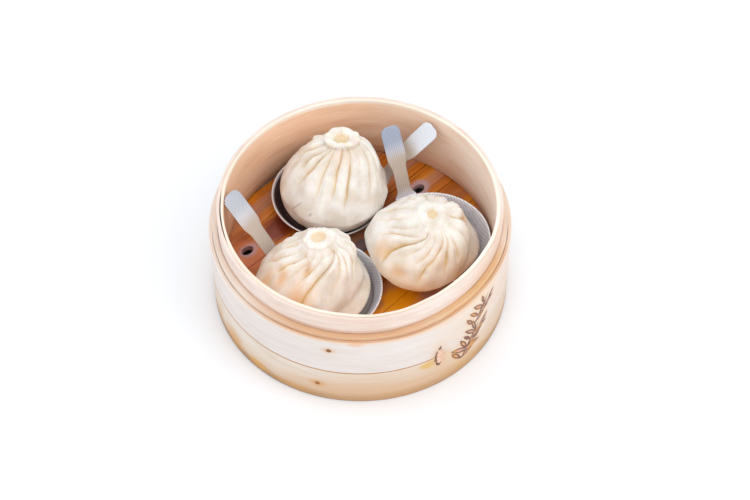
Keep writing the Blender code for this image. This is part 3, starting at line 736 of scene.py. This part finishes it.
stitch = {"bearing": -59.8, "width": 5.4, "height": 10.5, "middle": 23.65, "thick": 0.7,
          "ground": 75.05, "bow": 0.55, "middleWidth": 0.72, "endPinch": 0.42, "waver": 0.03,
          "endDip": 0.25, "crown": 0.25}
shape = bmesh.new()
bmesh.ops.create_grid(shape, x_segments=6, y_segments=16, size=0.5)
bmesh.ops.extrude_face_region(shape, geom=list(shape.faces))
half = len(shape.verts) // 2
for number, vert in enumerate(list(shape.verts)):
    vert.co.z = 1.0 if number >= half else 0.0
for vert in shape.verts:
    side, along, depth = vert.co.x * 2.0, vert.co.y * 2.0, vert.co.z
    width = stitch["width"] * (stitch["middleWidth"] - stitch["endPinch"] * along * along
                               + stitch["waver"] * math.sin(along * 5.0))
    outward = stitch["ground"] + stitch["bow"] * (1.0 - along * along) - stitch["endDip"] * abs(along) ** 3
    outward += stitch["thick"] * depth * (1.0 - stitch["crown"] * side * side)
    vert.co = Vector((outward, side * width / 2.0, stitch["middle"] + along * stitch["height"] / 2.0))
turnShape(shape, stitch["bearing"])
finishPiece("seamStitch", shape, stitchPaint, "seam_stitch")
print("pegs and stitch made")


floorBoards = {
    "top": 23.9, "thick": 3.4, "crown": 0.35, "sag": 0.12, "pitch": 16.9, "gap": 0.3, "count": 8,
    "first": -60.2, "bearing": 45.0, "reach": 70.0, "round": 0.3, "holeLength": 7.0, "holeWidth": 4.9,
    "holePitch": 45.1, "holeStart": -39.6, "holeRadii": (12.0, 60.0), "holePatch": (5.4, 4.2),
    "holeRim": (7.5, 5.5),
    "battenWidth": 9.0, "battenThick": 3.2, "battenOffset": 26.0, "battenWall": 67.6, "battenGap": 0.6,
    "battenDrop": 0.3, "battenRound": 0.4,
}


def holePlaces(index, offset):
    values = floorBoards
    shift = 0.0 if index % 2 == 0 else values["holePitch"] / 2.0
    nearest, farthest = values["holeRadii"]
    steps = [values["holeStart"] + shift + step * values["holePitch"] for step in range(-1, 4)]
    return [along for along in steps if nearest < math.hypot(along, offset) < farthest]


def makeSlat(index):
    values = floorBoards
    offset = values["first"] + index * values["pitch"]
    half = (values["pitch"] - values["gap"]) / 2.0
    shape = bmesh.new()
    bmesh.ops.create_grid(shape, x_segments=96, y_segments=12, size=1.0)
    for vert in shape.verts:
        across = offset + vert.co.y * half
        reach = math.sqrt(values["reach"] ** 2 - across ** 2)
        vert.co = Vector((vert.co.x * reach, across, 0.0))
    for along in holePlaces(index, offset):
        long, wide = values["holePatch"]
        patch = [face for face in shape.faces if abs(face.calc_center_median().x - along) < long
                 and abs(face.calc_center_median().y - offset) < wide]
        bmesh.ops.delete(shape, geom=patch, context="FACES")
        long, wide = values["holeRim"]
        rim = [edge for edge in shape.edges if edge.is_boundary and all(
            abs(vert.co.x - along) < long and abs(vert.co.y - offset) < wide for vert in edge.verts)]
        for share in (0.6, 1.0):           # the last loop is the hole's own edge
            rim, corners = growEdges(shape, rim)
            for vert in corners:
                away = vert.co - Vector((along, offset, 0.0))
                angle = math.atan2(away.y / values["holeWidth"], away.x / values["holeLength"])
                edge = Vector((math.cos(angle) * values["holeLength"] / 2.0,
                               math.sin(angle) * values["holeWidth"] / 2.0, 0.0))
                vert.co = Vector((along, offset, 0.0)) + away.lerp(edge, share)
    for vert in shape.verts:
        share = (vert.co.y - offset) / half
        sag = noise.noise(Vector((vert.co.x * 0.05, vert.co.y * 0.2, index * 3.0)))
        vert.co.z = values["top"] - values["crown"] * share * share + values["sag"] * sag
    grown = bmesh.ops.extrude_face_region(shape, geom=list(shape.faces))["geom"]
    for item in grown:
        if isinstance(item, bmesh.types.BMVert):
            item.co.z = values["top"] - values["thick"]
    bmesh.ops.recalc_face_normals(shape, faces=shape.faces)
    corners = [edge for edge in shape.edges
               if len(edge.link_faces) == 2 and edge.calc_face_angle(0.0) > math.radians(55.0)
               and abs(edge.verts[0].co.z - edge.verts[1].co.z) < 1.0]
    bevelEdges(shape, corners, values["round"], 2)
    turnShape(shape, values["bearing"])
    finishPiece(f"floorSlat{index + 1}", shape, slatPaint, f"slat_{index + 1}")


def makeBatten(number, side):
    values = floorBoards
    offset = side * values["battenOffset"]
    edge = values["battenOffset"] + values["battenWidth"] / 2.0
    length = 2.0 * (math.sqrt(values["battenWall"] ** 2 - edge ** 2) - values["battenGap"])
    top = values["top"] - values["thick"] - values["battenDrop"]
    shape = bmesh.new()
    bmesh.ops.create_cube(shape, size=1.0)
    bmesh.ops.scale(shape, vec=Vector((values["battenWidth"], length, values["battenThick"])),
                    verts=shape.verts)
    bmesh.ops.translate(shape, vec=Vector((offset, 0.0, top - values["battenThick"] / 2.0)),
                        verts=shape.verts)
    bevelEdges(shape, list(shape.edges), values["battenRound"], 3)
    turnShape(shape, values["bearing"])
    finishPiece(f"underBatten{number}", shape, underPaint, f"batten_{number}")


for slatIndex in range(floorBoards["count"]):
    makeSlat(slatIndex)
for battenNumber, battenSide in enumerate((-1.0, 1.0), start=1):
    makeBatten(battenNumber, battenSide)
print("floor made")


trayShape = {
    "sheet": 0.5, "low": 24.45, "rim": 30.7, "rimRadius": 29.35, "steps": 192, "rootSteps": 6.2,
    "handleLength": 39.6, "neck": 7.4, "tip": 10.2, "corner": 3.6, "flare": 2.2, "root": 5.0,
    "paddleStart": 16.0, "paddleSpread": 6.5, "crown": 0.25, "edgeRound": 0.15,
    "bowl": [(0.0, 0.12), (6.0, 0.1), (12.0, 0.0), (18.0, -0.02), (22.2, 0.0), (23.4, 0.08), (24.2, 0.3),
             (24.7, 0.75), (25.6, 2.0), (26.7, 3.5), (27.8, 4.9), (28.5, 5.75)],     # radius and height
}
trays = {
    "trayBack": {"node": "tray_back", "centre": (-16.0, 33.0), "bearing": 19.5, "rise": 46.0,
                 "bow": -12.0, "twist": 24.0},
    "trayRight": {"node": "tray_right", "centre": (36.5, 3.0), "bearing": 115.8, "rise": 60.0,
                  "bow": -9.0, "twist": 0.0},
    "trayLeft": {"node": "tray_left", "centre": (-18.5, -27.5), "bearing": 142.3, "rise": 46.0,
                 "bow": -4.0, "twist": 0.0, "stretch": 1.045, "widen": 1.07},
}


def handleHalf(along):
    values = trayShape
    half = values["neck"] / 2.0 + 0.5 * (values["tip"] - values["neck"]) * ease(
        (along - values["paddleStart"]) / values["paddleSpread"])
    half += values["flare"] * (1.0 - ease(along / values["root"])) ** 1.5
    short = values["corner"] - (values["handleLength"] - along)
    if short > 0.0:
        half -= values["corner"] - math.sqrt(max(values["corner"] ** 2 - short ** 2, 0.0))
    return half


def makeTray(name, values):
    size = trayShape
    line = [(radius, size["low"] + height) for radius, height in size["bowl"]]
    line += [(size["rimRadius"] - 0.4, size["rim"] - 0.08), (size["rimRadius"], size["rim"])]
    shape = spinLine(line, size["steps"], closed=False)
    flat = shape.loops.layers.uv.new("flatPattern")
    alongLayer = shape.verts.layers.float.new("along")
    root = [edge for edge in shape.edges if edge.is_boundary and all(
        abs(math.atan2(vert.co.y, vert.co.x)) < math.tau / size["steps"] * size["rootSteps"]
        for vert in edge.verts)]
    slopeStart, bow = math.radians(values["rise"]), math.radians(values["bow"])
    reach, height, before = size["rimRadius"], size["rim"], 0.0
    half = max(abs(vert.co.y) for edge in root for vert in edge.verts)
    shareLayer = shape.verts.layers.float.new("share")     # -1 to 1 across the handle
    for vert in {vert for edge in root for vert in edge.verts}:
        vert[shareLayer] = vert.co.y / half
    stations = [0.5, 1.0, 1.6, 2.3, 3.1, 4.0, 5.0] + [6.5 + 1.5 * step for step in range(20)]
    stations += [36.0, 36.8, 37.6, 38.2, 38.7, 39.1, 39.4, 39.6]
    stretch, widen = values.get("stretch", 1.0), values.get("widen", 1.0)
    for along in stations:
        root, corners = growEdges(shape, root)
        slope = slopeStart * ease(0.35 + along / 3.0) + bow * (along / size["handleLength"] - 0.5)
        reach += (along - before) * math.cos(slope) * stretch
        height += (along - before) * math.sin(slope) * stretch
        before = along
        width = handleHalf(along) * (1.0 + (widen - 1.0) * ease(along / 12.0))
        twist = math.radians(values["twist"]) * ease(along / size["handleLength"])
        across = Vector((-math.sin(slope) * math.sin(twist), math.cos(twist),
                         math.cos(slope) * math.sin(twist)))
        upward = Vector((-math.sin(slope), 0.0, math.cos(slope)))
        for vert in corners:
            side = vert[shareLayer]
            crown = size["crown"] * (1.0 - side * side) * ease(along / 8.0)
            vert.co = Vector((reach, 0.0, height)) + side * width * across + crown * upward
            vert[alongLayer] = along
    for face in shape.faces:
        for loop in face.loops:
            vert = loop.vert
            outward = size["rimRadius"] + vert[alongLayer] if vert[alongLayer] > 0.0 else vert.co.x
            loop[flat].uv = (outward * mm, vert.co.y * mm)
    turnShape(shape, values["bearing"])
    bmesh.ops.translate(shape, vec=Vector((*values["centre"], 0.0)), verts=shape.verts)
    piece = finishPiece(name, shape, trayPaints[name], values["node"], sharp=60.0)
    thicken = piece.modifiers.new("sheet", "SOLIDIFY")
    thicken.thickness = size["sheet"] * mm
    thicken.offset = 0.0
    thicken.use_even_offset = True
    soften = piece.modifiers.new("edge", "BEVEL")
    soften.width = size["edgeRound"] * mm
    soften.segments = 2
    soften.limit_method = "ANGLE"
    soften.angle_limit = math.radians(50.0)


for trayName, trayValues in trays.items():
    makeTray(trayName, trayValues)
print("trays made")


# A crease is its bearing at the neck, a third of the way down and two thirds down, its depth,
# and how far down it reaches, where 1 is the widest ring. A lump is bearing, fall, size in
# degrees, size in fall, and height in mm. A warm patch is bearing, height, half sizes in degrees
# and mm, and share; it is where the filling shows through, with painted warm bounce light. A
# speck-and-shade mark is a line from bearing and height to bearing and height, its half width
# and share; it is painted shade in a slit, a dimple and over shaded sides, and a small speck.
# Kneading is lumps, dents and wrinkles: size in mm, scale round and up, and a step in seed.
doughShape = {"foot": 25.0, "rimHeight": 6.0, "rimRadius": 26.0, "columns": 20, "crest": 0.38,
              "crestPower": 0.8, "pleatTurn": 21.0, "creaseFalls": (0.05, 0.3, 0.6), "lowestFall": 0.64,
              "wander": 3.2, "uneven": 0.8, "lipUneven": 0.16, "shoulderRows": 52, "rowPower": 0.93,
              "mouthRows": 26, "cupRows": 30,       # counted from the bottom of the mouth
              "bowl": ((0.95, 0.35), (0.72, 0.78), (0.4, 0.98), (0.0, 1.0)),
              "kneading": ((0.9, 2.2, 0.07, 7.0), (0.42, 5.5, 0.22, 3.0), (0.34, 13.0, 0.1, 5.0))}
dumplings = {
    "dumplingBack": {
        "node": "dumpling_back", "tray": (-16.0, 33.0), "belly": (-13.1, 32.0), "footShift": 0.75,
        "radius": 27.8, "height": 42.2, "bellyHeight": 13.9, "shoulder": 1.23, "lipShift": (4.4, 5.8),
        "oval": (0.029, -64.0), "lobed": (0.007, -29.0), "lipRadius": 9.2, "mouthRadius": 4.5,
        "neck": 1.0, "lipHeight": 4.0, "mouthDepth": 2.3, "depth": 1.6, "seed": 3.0,
        "lipScale": (1.02, 0.72), "lipMove": (-0.2, 1.7), "lipWave": 1.3, "cupMove": (0.0, -1.1),
        "creases": [(-138, -161, -168, 1.5, 0.5), (-126, -140, -152, 1.4, 0.62),
                    (-113, -116, -120, 0.8, 0.64), (-89, -94, -97, 1.6, 0.58), (-69, -73, -79, 1.3, 0.74),
                    (-50, -54, -60, 0.25, 0.4), (-29, -35, -42, 0.5, 0.75), (-7, -12, -20, 0.35, 0.6),
                    (15, 11, 4, 0.8, 0.6), (36, 33, 27, 0.5, 0.8), (57, 55, 50, 1, 0.6),
                    (79, 76, 73, 0.6, 0.85), (101, 98, 94, 1.1, 0.6), (122, 118, 114, 0.9, 0.55),
                    (143, 139, 134, 1.2, 0.7), (164, 158, 152, 1, 0.6), (195, 178, 170, 1.3, 0.55)],
        "lumps": [(133, 0.34, 9, 0.1, 1.7), (157, 0.26, 9, 0.1, 1.2), (-150, 0.24, 7, 0.16, 0.8),
                  (178, 0.24, 8, 0.16, 0.9), (95, -0.25, 30, 0.12, 0.9),
                  (-88, 0.1, 7, 0.12, -0.6), (-20, 0.5, 12, 0.2, 0.6)],
        "warm": [(-100, 6, 60, 6, 0.35), (-160, 4, 40, 8, 0.3), (-92, 36.5, 40, 3, 0.25)],
        "specksAndShade": [(-141, 15, -134, 19.4, 0.42, 0.62), (-118, 17, -117, 17.3, 0.7, 0.5),
                   (-85, 17, -55, 24, 11, 0.13), (-35, 14, -8, 20, 10, 0.16),
                   (-150, 22, -120, 8, 9, 0.11)],
    },
    "dumplingRight": {
        "node": "dumpling_right", "tray": (36.5, 3.0), "belly": (28.8, -7.1), "footShift": 0.1,
        "radius": 27.0, "height": 33.2, "bellyHeight": 12.1, "shoulder": 1.49, "lipShift": (6.6, 3.0),
        "oval": (0.039, -72.0), "lobed": (0.032, 29.0), "lipRadius": 8.2, "mouthRadius": 3.3,
        "neck": 1.4, "lipHeight": 2.5, "mouthDepth": 1.5, "depth": 1.7, "seed": 8.0,
        "lipScale": (0.92, 1.0), "lipMove": (0.0, 0.0), "lipWave": 0.7, "cupMove": (0.2, 0.3),
        "creases": [(-111, -137, -145, 2, 0.8), (-101, -118, -129, 0.6, 0.5),
                    (-87, -98, -111, 0.8, 0.5), (-68, -83, -93, 1.4, 0.8), (-57, -62, -65, 0.9, 0.8),
                    (-48, -45, -41, 0.7, 0.6), (-26, -21, -18, 0.3, 0.6), (4, 12, 14, 1.8, 0.8),
                    (30, 32, 34, 0.4, 0.4), (54, 56, 58, 1.2, 0.6), (78, 80, 82, 0.5, 0.5),
                    (102, 104, 106, 1, 0.6), (127, 128, 130, 0.5, 0.6), (152, 150, 148, 0.9, 0.7),
                    (180, 171, 159, 0.7, 0.6), (208, 184, 170, 0.6, 0.5), (236, 196, 184, 0.8, 0.6)],
        "lumps": [(61, 0.1, 9, 0.12, -1.1), (30, 0.16, 10, 0.16, 1.6), (42, 0.76, 27, 0.36, -2.4),
                  (24, 1.34, 36, 0.34, -4.6), (166, 0.06, 8, 0.08, -0.8), (146, 0.7, 9, 0.14, 0.9),
                  (125, 0.35, 12, 0.12, -0.7), (-150, 0.35, 10, 0.14, 0.7), (-118, 0.7, 10, 0.12, -0.7)],
        "warm": [(-72, 22, 26, 5, 0.35), (-95, 10, 50, 9, 0.85), (-45, 12, 30, 9, 0.75),
                 (-156, 19, 12, 4, 0.6), (-119, 17.5, 12, 3.5, 0.8), (5, 17, 10, 6, 0.6),
                 (12, 25, 12, 2.5, 0.6)],
        "specksAndShade": [],
    },
    "dumplingLeft": {
        "node": "dumpling_left", "tray": (-18.5, -27.5), "belly": (-26.4, -26.8), "footShift": 0.1,
        "radius": 26.5, "height": 36.2, "bellyHeight": 10.1, "shoulder": 1.24, "lipShift": (6.7, 5.5),
        "oval": (0.058, 49.0), "lobed": (0.012, 15.0), "lipRadius": 7.6, "mouthRadius": 3.7,
        "neck": 1.36, "lipHeight": 5.0, "mouthDepth": 2.6, "depth": 1.6, "seed": 5.0,
        "lipScale": (1.1, 0.9), "lipMove": (-0.3, 0.9), "lipWave": 0.9, "cupMove": (-0.4, 0.9),
        "creases": [(-129, -148, -157, 1.2, 0.5), (-108, -127, -133, 1, 0.38),
                    (-88, -110, -124, 1, 0.42), (-53, -86, -102, 2, 0.8), (-43, -48, -60, 0.8, 0.5),
                    (-29, -32, -31, 0.7, 0.55), (-11, -13, -16, 0.6, 0.7), (9, 8, 6, 0.3, 0.5),
                    (30, 29, 27, 0.9, 0.6), (52, 50, 48, 0.4, 0.8), (74, 71, 68, 1, 0.5),
                    (96, 92, 88, 0.5, 0.7), (118, 113, 108, 0.9, 0.8), (140, 134, 127, 0.5, 0.6),
                    (162, 154, 144, 0.7, 0.6), (184, 172, 156, 0.9, 0.6), (208, 190, 170, 0.9, 0.7)],
        "lumps": [(0, 1.4, 42, 0.3, -4.8), (-6, 0.92, 26, 0.3, 2), (34, 0.75, 16, 0.3, -1.2),
                  (127, 0.19, 10, 0.1, -0.8), (-109, 0.13, 6, 0.06, -1.3), (-140, 0.38, 9, 0.09, -0.9),
                  (-151, 0.24, 9, 0.1, 0.8), (-120, 0.3, 8, 0.1, 0.6), (-38, 0.42, 9, 0.12, 0.6)],
        "warm": [(-111, 19.5, 12, 5, 0.75), (-140, 22.5, 7, 3, 0.8), (-160, 18, 9, 3, 0.7),
                 (-97, 16, 10, 7, 0.6), (-60, 6, 50, 7, 0.35), (-108, 27.5, 7, 1.8, 0.8)],
        "specksAndShade": [(-109, 27.9, -107, 27.6, 0.9, 0.3)],
    },
}


# Rows from the foot's middle to the bottom of the mouth, as (radius, height, part).
def doughProfile(values):
    belly, top = values["bellyHeight"], values["height"]
    lip, mouth = values["lipRadius"], values["mouthRadius"]
    neckHeight = top - values["lipHeight"]
    neck = lip * values["neck"]
    rows = [(Vector((radius, height)), "foot") for radius, height in
            ((0.0, 0.0), (6.0, 0.0), (12.0, 0.0), (16.5, 0.0))]
    side = [Vector(pair) for pair in ((18.6, 0.1), (20.6, 0.6), (22.9, 2.2), (24.8, 4.2),
                                      (doughShape["rimRadius"], doughShape["rimHeight"]))]
    side.append(Vector((0.45 * side[-1].x + 0.55 * values["radius"] + 0.3,
                        0.5 * (doughShape["rimHeight"] + belly))))
    side.append(Vector((values["radius"], belly)))
    rows += [(point, "side") for point in smoothLine(side, 3)[:-1]]
    power = 2.0 / values["shoulder"]
    for step in range(doughShape["shoulderRows"]):
        angle = math.radians(90.0) * (step / doughShape["shoulderRows"]) ** doughShape["rowPower"]
        rows.append((Vector((neck + (values["radius"] - neck) * max(math.cos(angle), 0.0) ** power,
                             belly + (neckHeight - belly) * math.sin(angle) ** power)), "shoulder"))
    high, roll = values["lipHeight"], lip - mouth
    ring = [Vector(pair) for pair in (
        (neck, neckHeight), (0.82 * neck + 0.18 * lip, neckHeight + 0.12 * high),
        (0.45 * neck + 0.55 * lip, neckHeight + 0.36 * high), (lip, neckHeight + 0.62 * high),
        (lip - 0.12 * roll, neckHeight + 0.83 * high), (lip - 0.36 * roll, top - 0.05 * high),
        (mouth + 0.4 * roll, top), (mouth + 0.12 * roll, top - 0.13 * roll))]
    ring += [Vector((mouth * across, top - values["mouthDepth"] * down))
             for across, down in doughShape["bowl"]]
    rows += [(point, "lip") for point in smoothLine(ring, 4)]
    return rows


# Bearing of a crease, eased between the three bearings that are given, with a little wander.
def creaseBearing(crease, number, fall, seed):
    fall = min(max(fall, 0.0), doughShape["lowestFall"])
    stray = noise.noise(Vector((fall * 5.5, number * 7.3, seed))) * ease(fall * 3.0)
    bearing = doughShape["wander"] * stray
    for turn, place in zip(crease, doughShape["creaseFalls"]):
        others = [other for other in doughShape["creaseFalls"] if other != place]
        bearing += turn * math.prod((fall - other) / (place - other) for other in others)
    return bearing


def creaseDepth(crease, number, fall, seed):
    uneven = 1.0 + doughShape["uneven"] * noise.noise(Vector((fall * 7.0, number * 5.1, seed + 9.0)))
    return crease[3] * uneven * ease((crease[4] - fall) / 0.35 + 0.2)


# What a soft round patch adds at a bearing and level.
def patchShare(bearing, level, patch):
    patchBearing, patchLevel, patchTurn, patchRise, strength = patch
    away = math.hypot(apart(bearing, patchBearing) / patchTurn, (level - patchLevel) / patchRise)
    return strength * math.exp(-away * away)


# How far a point at a bearing and height lies from a short line on the side, in millimetres.
def sideDistance(bearing, height, radius, line):
    scale = math.radians(1.0) * max(radius, 1.0)
    startBearing, startHeight, endBearing, endHeight = line
    start = Vector((apart(startBearing, bearing) * scale, startHeight - height))
    end = Vector((apart(endBearing, bearing) * scale, endHeight - height))
    run = end - start
    share = min(max(-start.dot(run) / run.length_squared, 0.0), 1.0)
    return (start + run * share).length


def makeDumpling(name, values):
    rows = doughProfile(values)
    creases = values["creases"]
    creases = creases + [tuple(turn + 360 for turn in creases[0][:3]) + creases[0][3:]]
    pleats = len(creases) - 1
    steps = pleats * doughShape["columns"]
    shape = spinLine([(point.x, point.y) for point, part in rows], steps, closed=False)
    rowLayer = shape.verts.layers.int["row"]
    creaseShadeLayer, brothAndBounceLayer, speckAndShadeLayer = (shape.verts.layers.float.new(layer)
                                         for layer in ("creaseShade", "brothAndBounce", "speckAndShade"))
    belly, lipHeight, mouthRadius = values["bellyHeight"], values["lipHeight"], values["mouthRadius"]
    neckHeight = values["height"] - lipHeight
    tray = Vector((*values["tray"], 0.0))
    lean = Vector((*values["belly"], 0.0)) - tray
    mouthLean = Vector((*values["lipShift"], 0.0))
    rimHeight = doughShape["rimHeight"]
    tangents = []
    for number, (point, part) in enumerate(rows):
        before = rows[max(number - 1, 0)][0]
        after = rows[min(number + 1, len(rows) - 1)][0]
        step = after - before
        tangents.append(Vector((step.y, -step.x)).normalized())
    seed = values["seed"]
    for vert in shape.verts:
        number = vert[rowLayer]
        point, part = rows[number]
        radius, height = point
        turn = math.degrees(math.atan2(vert.co.y, vert.co.x)) % 360.0
        pleat, column = divmod(round(turn * steps / 360.0) % steps, doughShape["columns"])
        share = column / doughShape["columns"]
        level = (neckHeight - height) / (neckHeight - belly)
        fall = min(max(level, 0.0), 1.0)
        pair = [(creases[pleat], pleat), (creases[pleat + 1], (pleat + 1) % pleats)]
        here, following = (creaseBearing(crease, index, fall, seed) for crease, index in pair)
        bearing = here + share * (following - here)
        depths = [creaseDepth(crease, index, fall, seed) for crease, index in pair]
        strength = depths[0] * (1.0 - share) + depths[1] * share
        crest = 0.0
        if share > 0.0:
            crest = math.sin(math.pi * share ** (math.log(0.5) / math.log(doughShape["crest"])))
        crest = max(crest, 0.0) ** doughShape["crestPower"]
        wide = min(max((following - here) / doughShape["pleatTurn"], 0.35), 1.6) ** 0.6
        swell = creaseShadeDepth = inMouth = 0.0
        if part == "shoulder":
            fade = (0.4 + 0.6 * ease(3.0 * fall)) * ease((1.15 - fall) / 0.3)
            swell = values["depth"] * fade * (wide * 1.15 * crest - 1.0) * strength
            # painted warm shade, deepest in the crease
            creaseShadeDepth = fade * min(strength, 1.3) * (1.0 - crest) ** 2.5
        elif part == "lip":
            under = 1.0 - ease((height - neckHeight) / (0.6 * lipHeight))
            outer = ease((radius - mouthRadius) / 2.0)
            swell = (0.02 + 0.4 * under) * values["depth"] * outer * (wide * crest - 0.8) * strength
            creaseShadeDepth = (0.04 + 0.4 * under) * outer * strength * (1.0 - crest) ** 2
            if number > len(rows) - doughShape["mouthRows"]:
                inMouth = ease((1.2 - radius / mouthRadius) / 0.5)
            # painted shade in the mouth's hollow
            creaseShadeDepth = max(creaseShadeDepth, 0.55 * inMouth)
        settle = ease((height - rimHeight) / (belly - rimHeight))
        around = Vector((math.cos(math.radians(bearing)), math.sin(math.radians(bearing)), 0.0))
        lump, dent, wrinkle = (size * unevenness(around, scale, height * rate + seed * seedStep)
                               for size, scale, rate, seedStep in doughShape["kneading"])
        calm = 1.0                           # the lip itself is drawn smooth by the fingers
        if part == "lip":
            calm = 1.0 - 0.75 * ease((height - neckHeight) / (0.45 * lipHeight))
        high = ease((0.95 - fall) / 0.5)
        swell += (1.0 - inMouth) * settle * (lump + calm * (dent + high * wrinkle))
        swell += (1.0 - inMouth) * sum(patchShare(bearing, level, lump) for lump in values["lumps"])
        side, rise = tangents[number] * swell
        oval, ovalBearing = values["oval"]
        lobed, lobedBearing = values["lobed"]
        radius += side
        radius *= 1.0 + settle * (oval * math.cos(math.radians(2.0 * (bearing - ovalBearing)))
                                  + lobed * math.cos(math.radians(3.0 * (bearing - lobedBearing))))
        climb = ease((height - belly) / (neckHeight - belly))
        shift = lean * (values["footShift"] * (1.0 - settle) + settle) + mouthLean * climb
        if part == "lip":
            up = ease((height - neckHeight) / lipHeight)
            rise += values["lipWave"] * unevenness(around, 1.4, seed * 11.0) * up * (1.0 - inMouth)
            radius *= 1.0 + doughShape["lipUneven"] * unevenness(around, 1.9, seed * 4.0 + 2.0) * up
        place = polar(max(radius, 0.0), bearing)
        mouthShare = ease(1.35 - 2.2 * fall) if height > belly else 0.0
        stretchX, stretchY = values["lipScale"]
        place.x *= 1.0 + (stretchX - 1.0) * mouthShare
        place.y *= 1.0 + (stretchY - 1.0) * mouthShare
        place += Vector((*values["lipMove"], 0.0)) * mouthShare
        if part == "lip" and number > len(rows) - doughShape["cupRows"]:
            inward = ease((1.7 - point.x / mouthRadius) / 0.9)
            place += Vector((*values["cupMove"], 0.0)) * inward
        vert.co = tray + shift + place + Vector((0.0, 0.0, doughShape["foot"] + height + rise))
        vert[creaseShadeLayer] = min(creaseShadeDepth, 1.0)
        # the filling showing through, with painted warm bounce light
        vert[brothAndBounceLayer] = max(patchShare(bearing, height, patch) for patch in values["warm"])
        # painted shade in a slit, a dimple and over shaded sides, and a small speck
        for *line, width, darkness in values["specksAndShade"]:
            near = sideDistance(bearing, height, point.x, line) / width
            vert[speckAndShadeLayer] = max(vert[speckAndShadeLayer], darkness * math.exp(-near * near))
    above = [vert for vert in shape.verts if vert.co.z > doughShape["foot"] + 1.0]
    bmesh.ops.smooth_vert(shape, verts=above, factor=0.35, use_axis_x=True, use_axis_y=True,
                          use_axis_z=True)
    finishPiece(name, shape, doughPaintwork, values["node"], sharp=179.0)


for dumplingName, dumplingValues in dumplings.items():
    makeDumpling(dumplingName, dumplingValues)
print("dumplings made")


studio = {
    "paper": {"color": (0.91, 0.925, 0.95, 1.0), "rough": 0.7, "shine": 0.2, "size": 6.0, "drop": 0.0003},
    "sky": (0.96, 0.98, 1.0), "skyStrength": 1.0,
    "lamps": {      # place, size and power in watts, and colour
        "windowLamp": ((-0.75, 0.35, 0.85), 0.6, 1.0, (0.97, 0.98, 1.0)),
        "frontFill": ((-0.15, -0.8, 1.1), 0.7, 1.8, (1.0, 0.985, 0.97)),
        "rightFill": ((0.72, -0.42, 0.85), 0.8, 3.0, (1.0, 0.98, 0.96)),
    },
    "aim": (0.0, 0.0, 0.03),
}
paper, paperTree, paperShader = newMaterial("studioPaper")
paperShader.inputs["Base Color"].default_value = studio["paper"]["color"]
paperShader.inputs["Roughness"].default_value = studio["paper"]["rough"]
paperShader.inputs["Specular IOR Level"].default_value = studio["paper"]["shine"]
shape = bmesh.new()
bmesh.ops.create_grid(shape, x_segments=8, y_segments=8, size=studio["paper"]["size"])
bmesh.ops.translate(shape, vec=Vector((0.0, 0.0, -studio["paper"]["drop"])), verts=shape.verts)
studioFloor = newObject("studioFloor", newMesh("studioFloor", shape, paper), studioGroup)

world = bpy.data.worlds.new("studioSky")
world.use_nodes = True
world.node_tree.nodes["Background"].inputs["Color"].default_value = (*studio["sky"], 1.0)
world.node_tree.nodes["Background"].inputs["Strength"].default_value = studio["skyStrength"]
bpy.context.scene.world = world
for lampName, (lampPlace, lampSize, lampPower, lampColor) in studio["lamps"].items():
    lamp = bpy.data.lights.new(lampName, "AREA")
    lamp.size = lampSize
    lamp.energy = lampPower
    lamp.color = lampColor
    lampObject = newObject(lampName, lamp, studioGroup)
    lampObject.location = lampPlace
    aim = Vector(studio["aim"]) - lampObject.location
    lampObject.rotation_euler = aim.to_track_quat("-Z", "Y").to_euler()

view = {"place": (0.0, -0.57717, 0.75857), "aim": (0.0079247, 0.6181407, -0.7860276), "lens": 88.6}
camera = bpy.data.cameras.new("camera")
camera.lens = view["lens"]
camera.sensor_width = 36.0
cameraObject = newObject("camera", camera, studioGroup)
cameraObject.location = view["place"]
cameraObject.rotation_euler = Vector(view["aim"]).to_track_quat("-Z", "Y").to_euler()
bpy.context.scene.camera = cameraObject
bpy.context.scene.view_settings.view_transform = "Standard"
print("studio made")
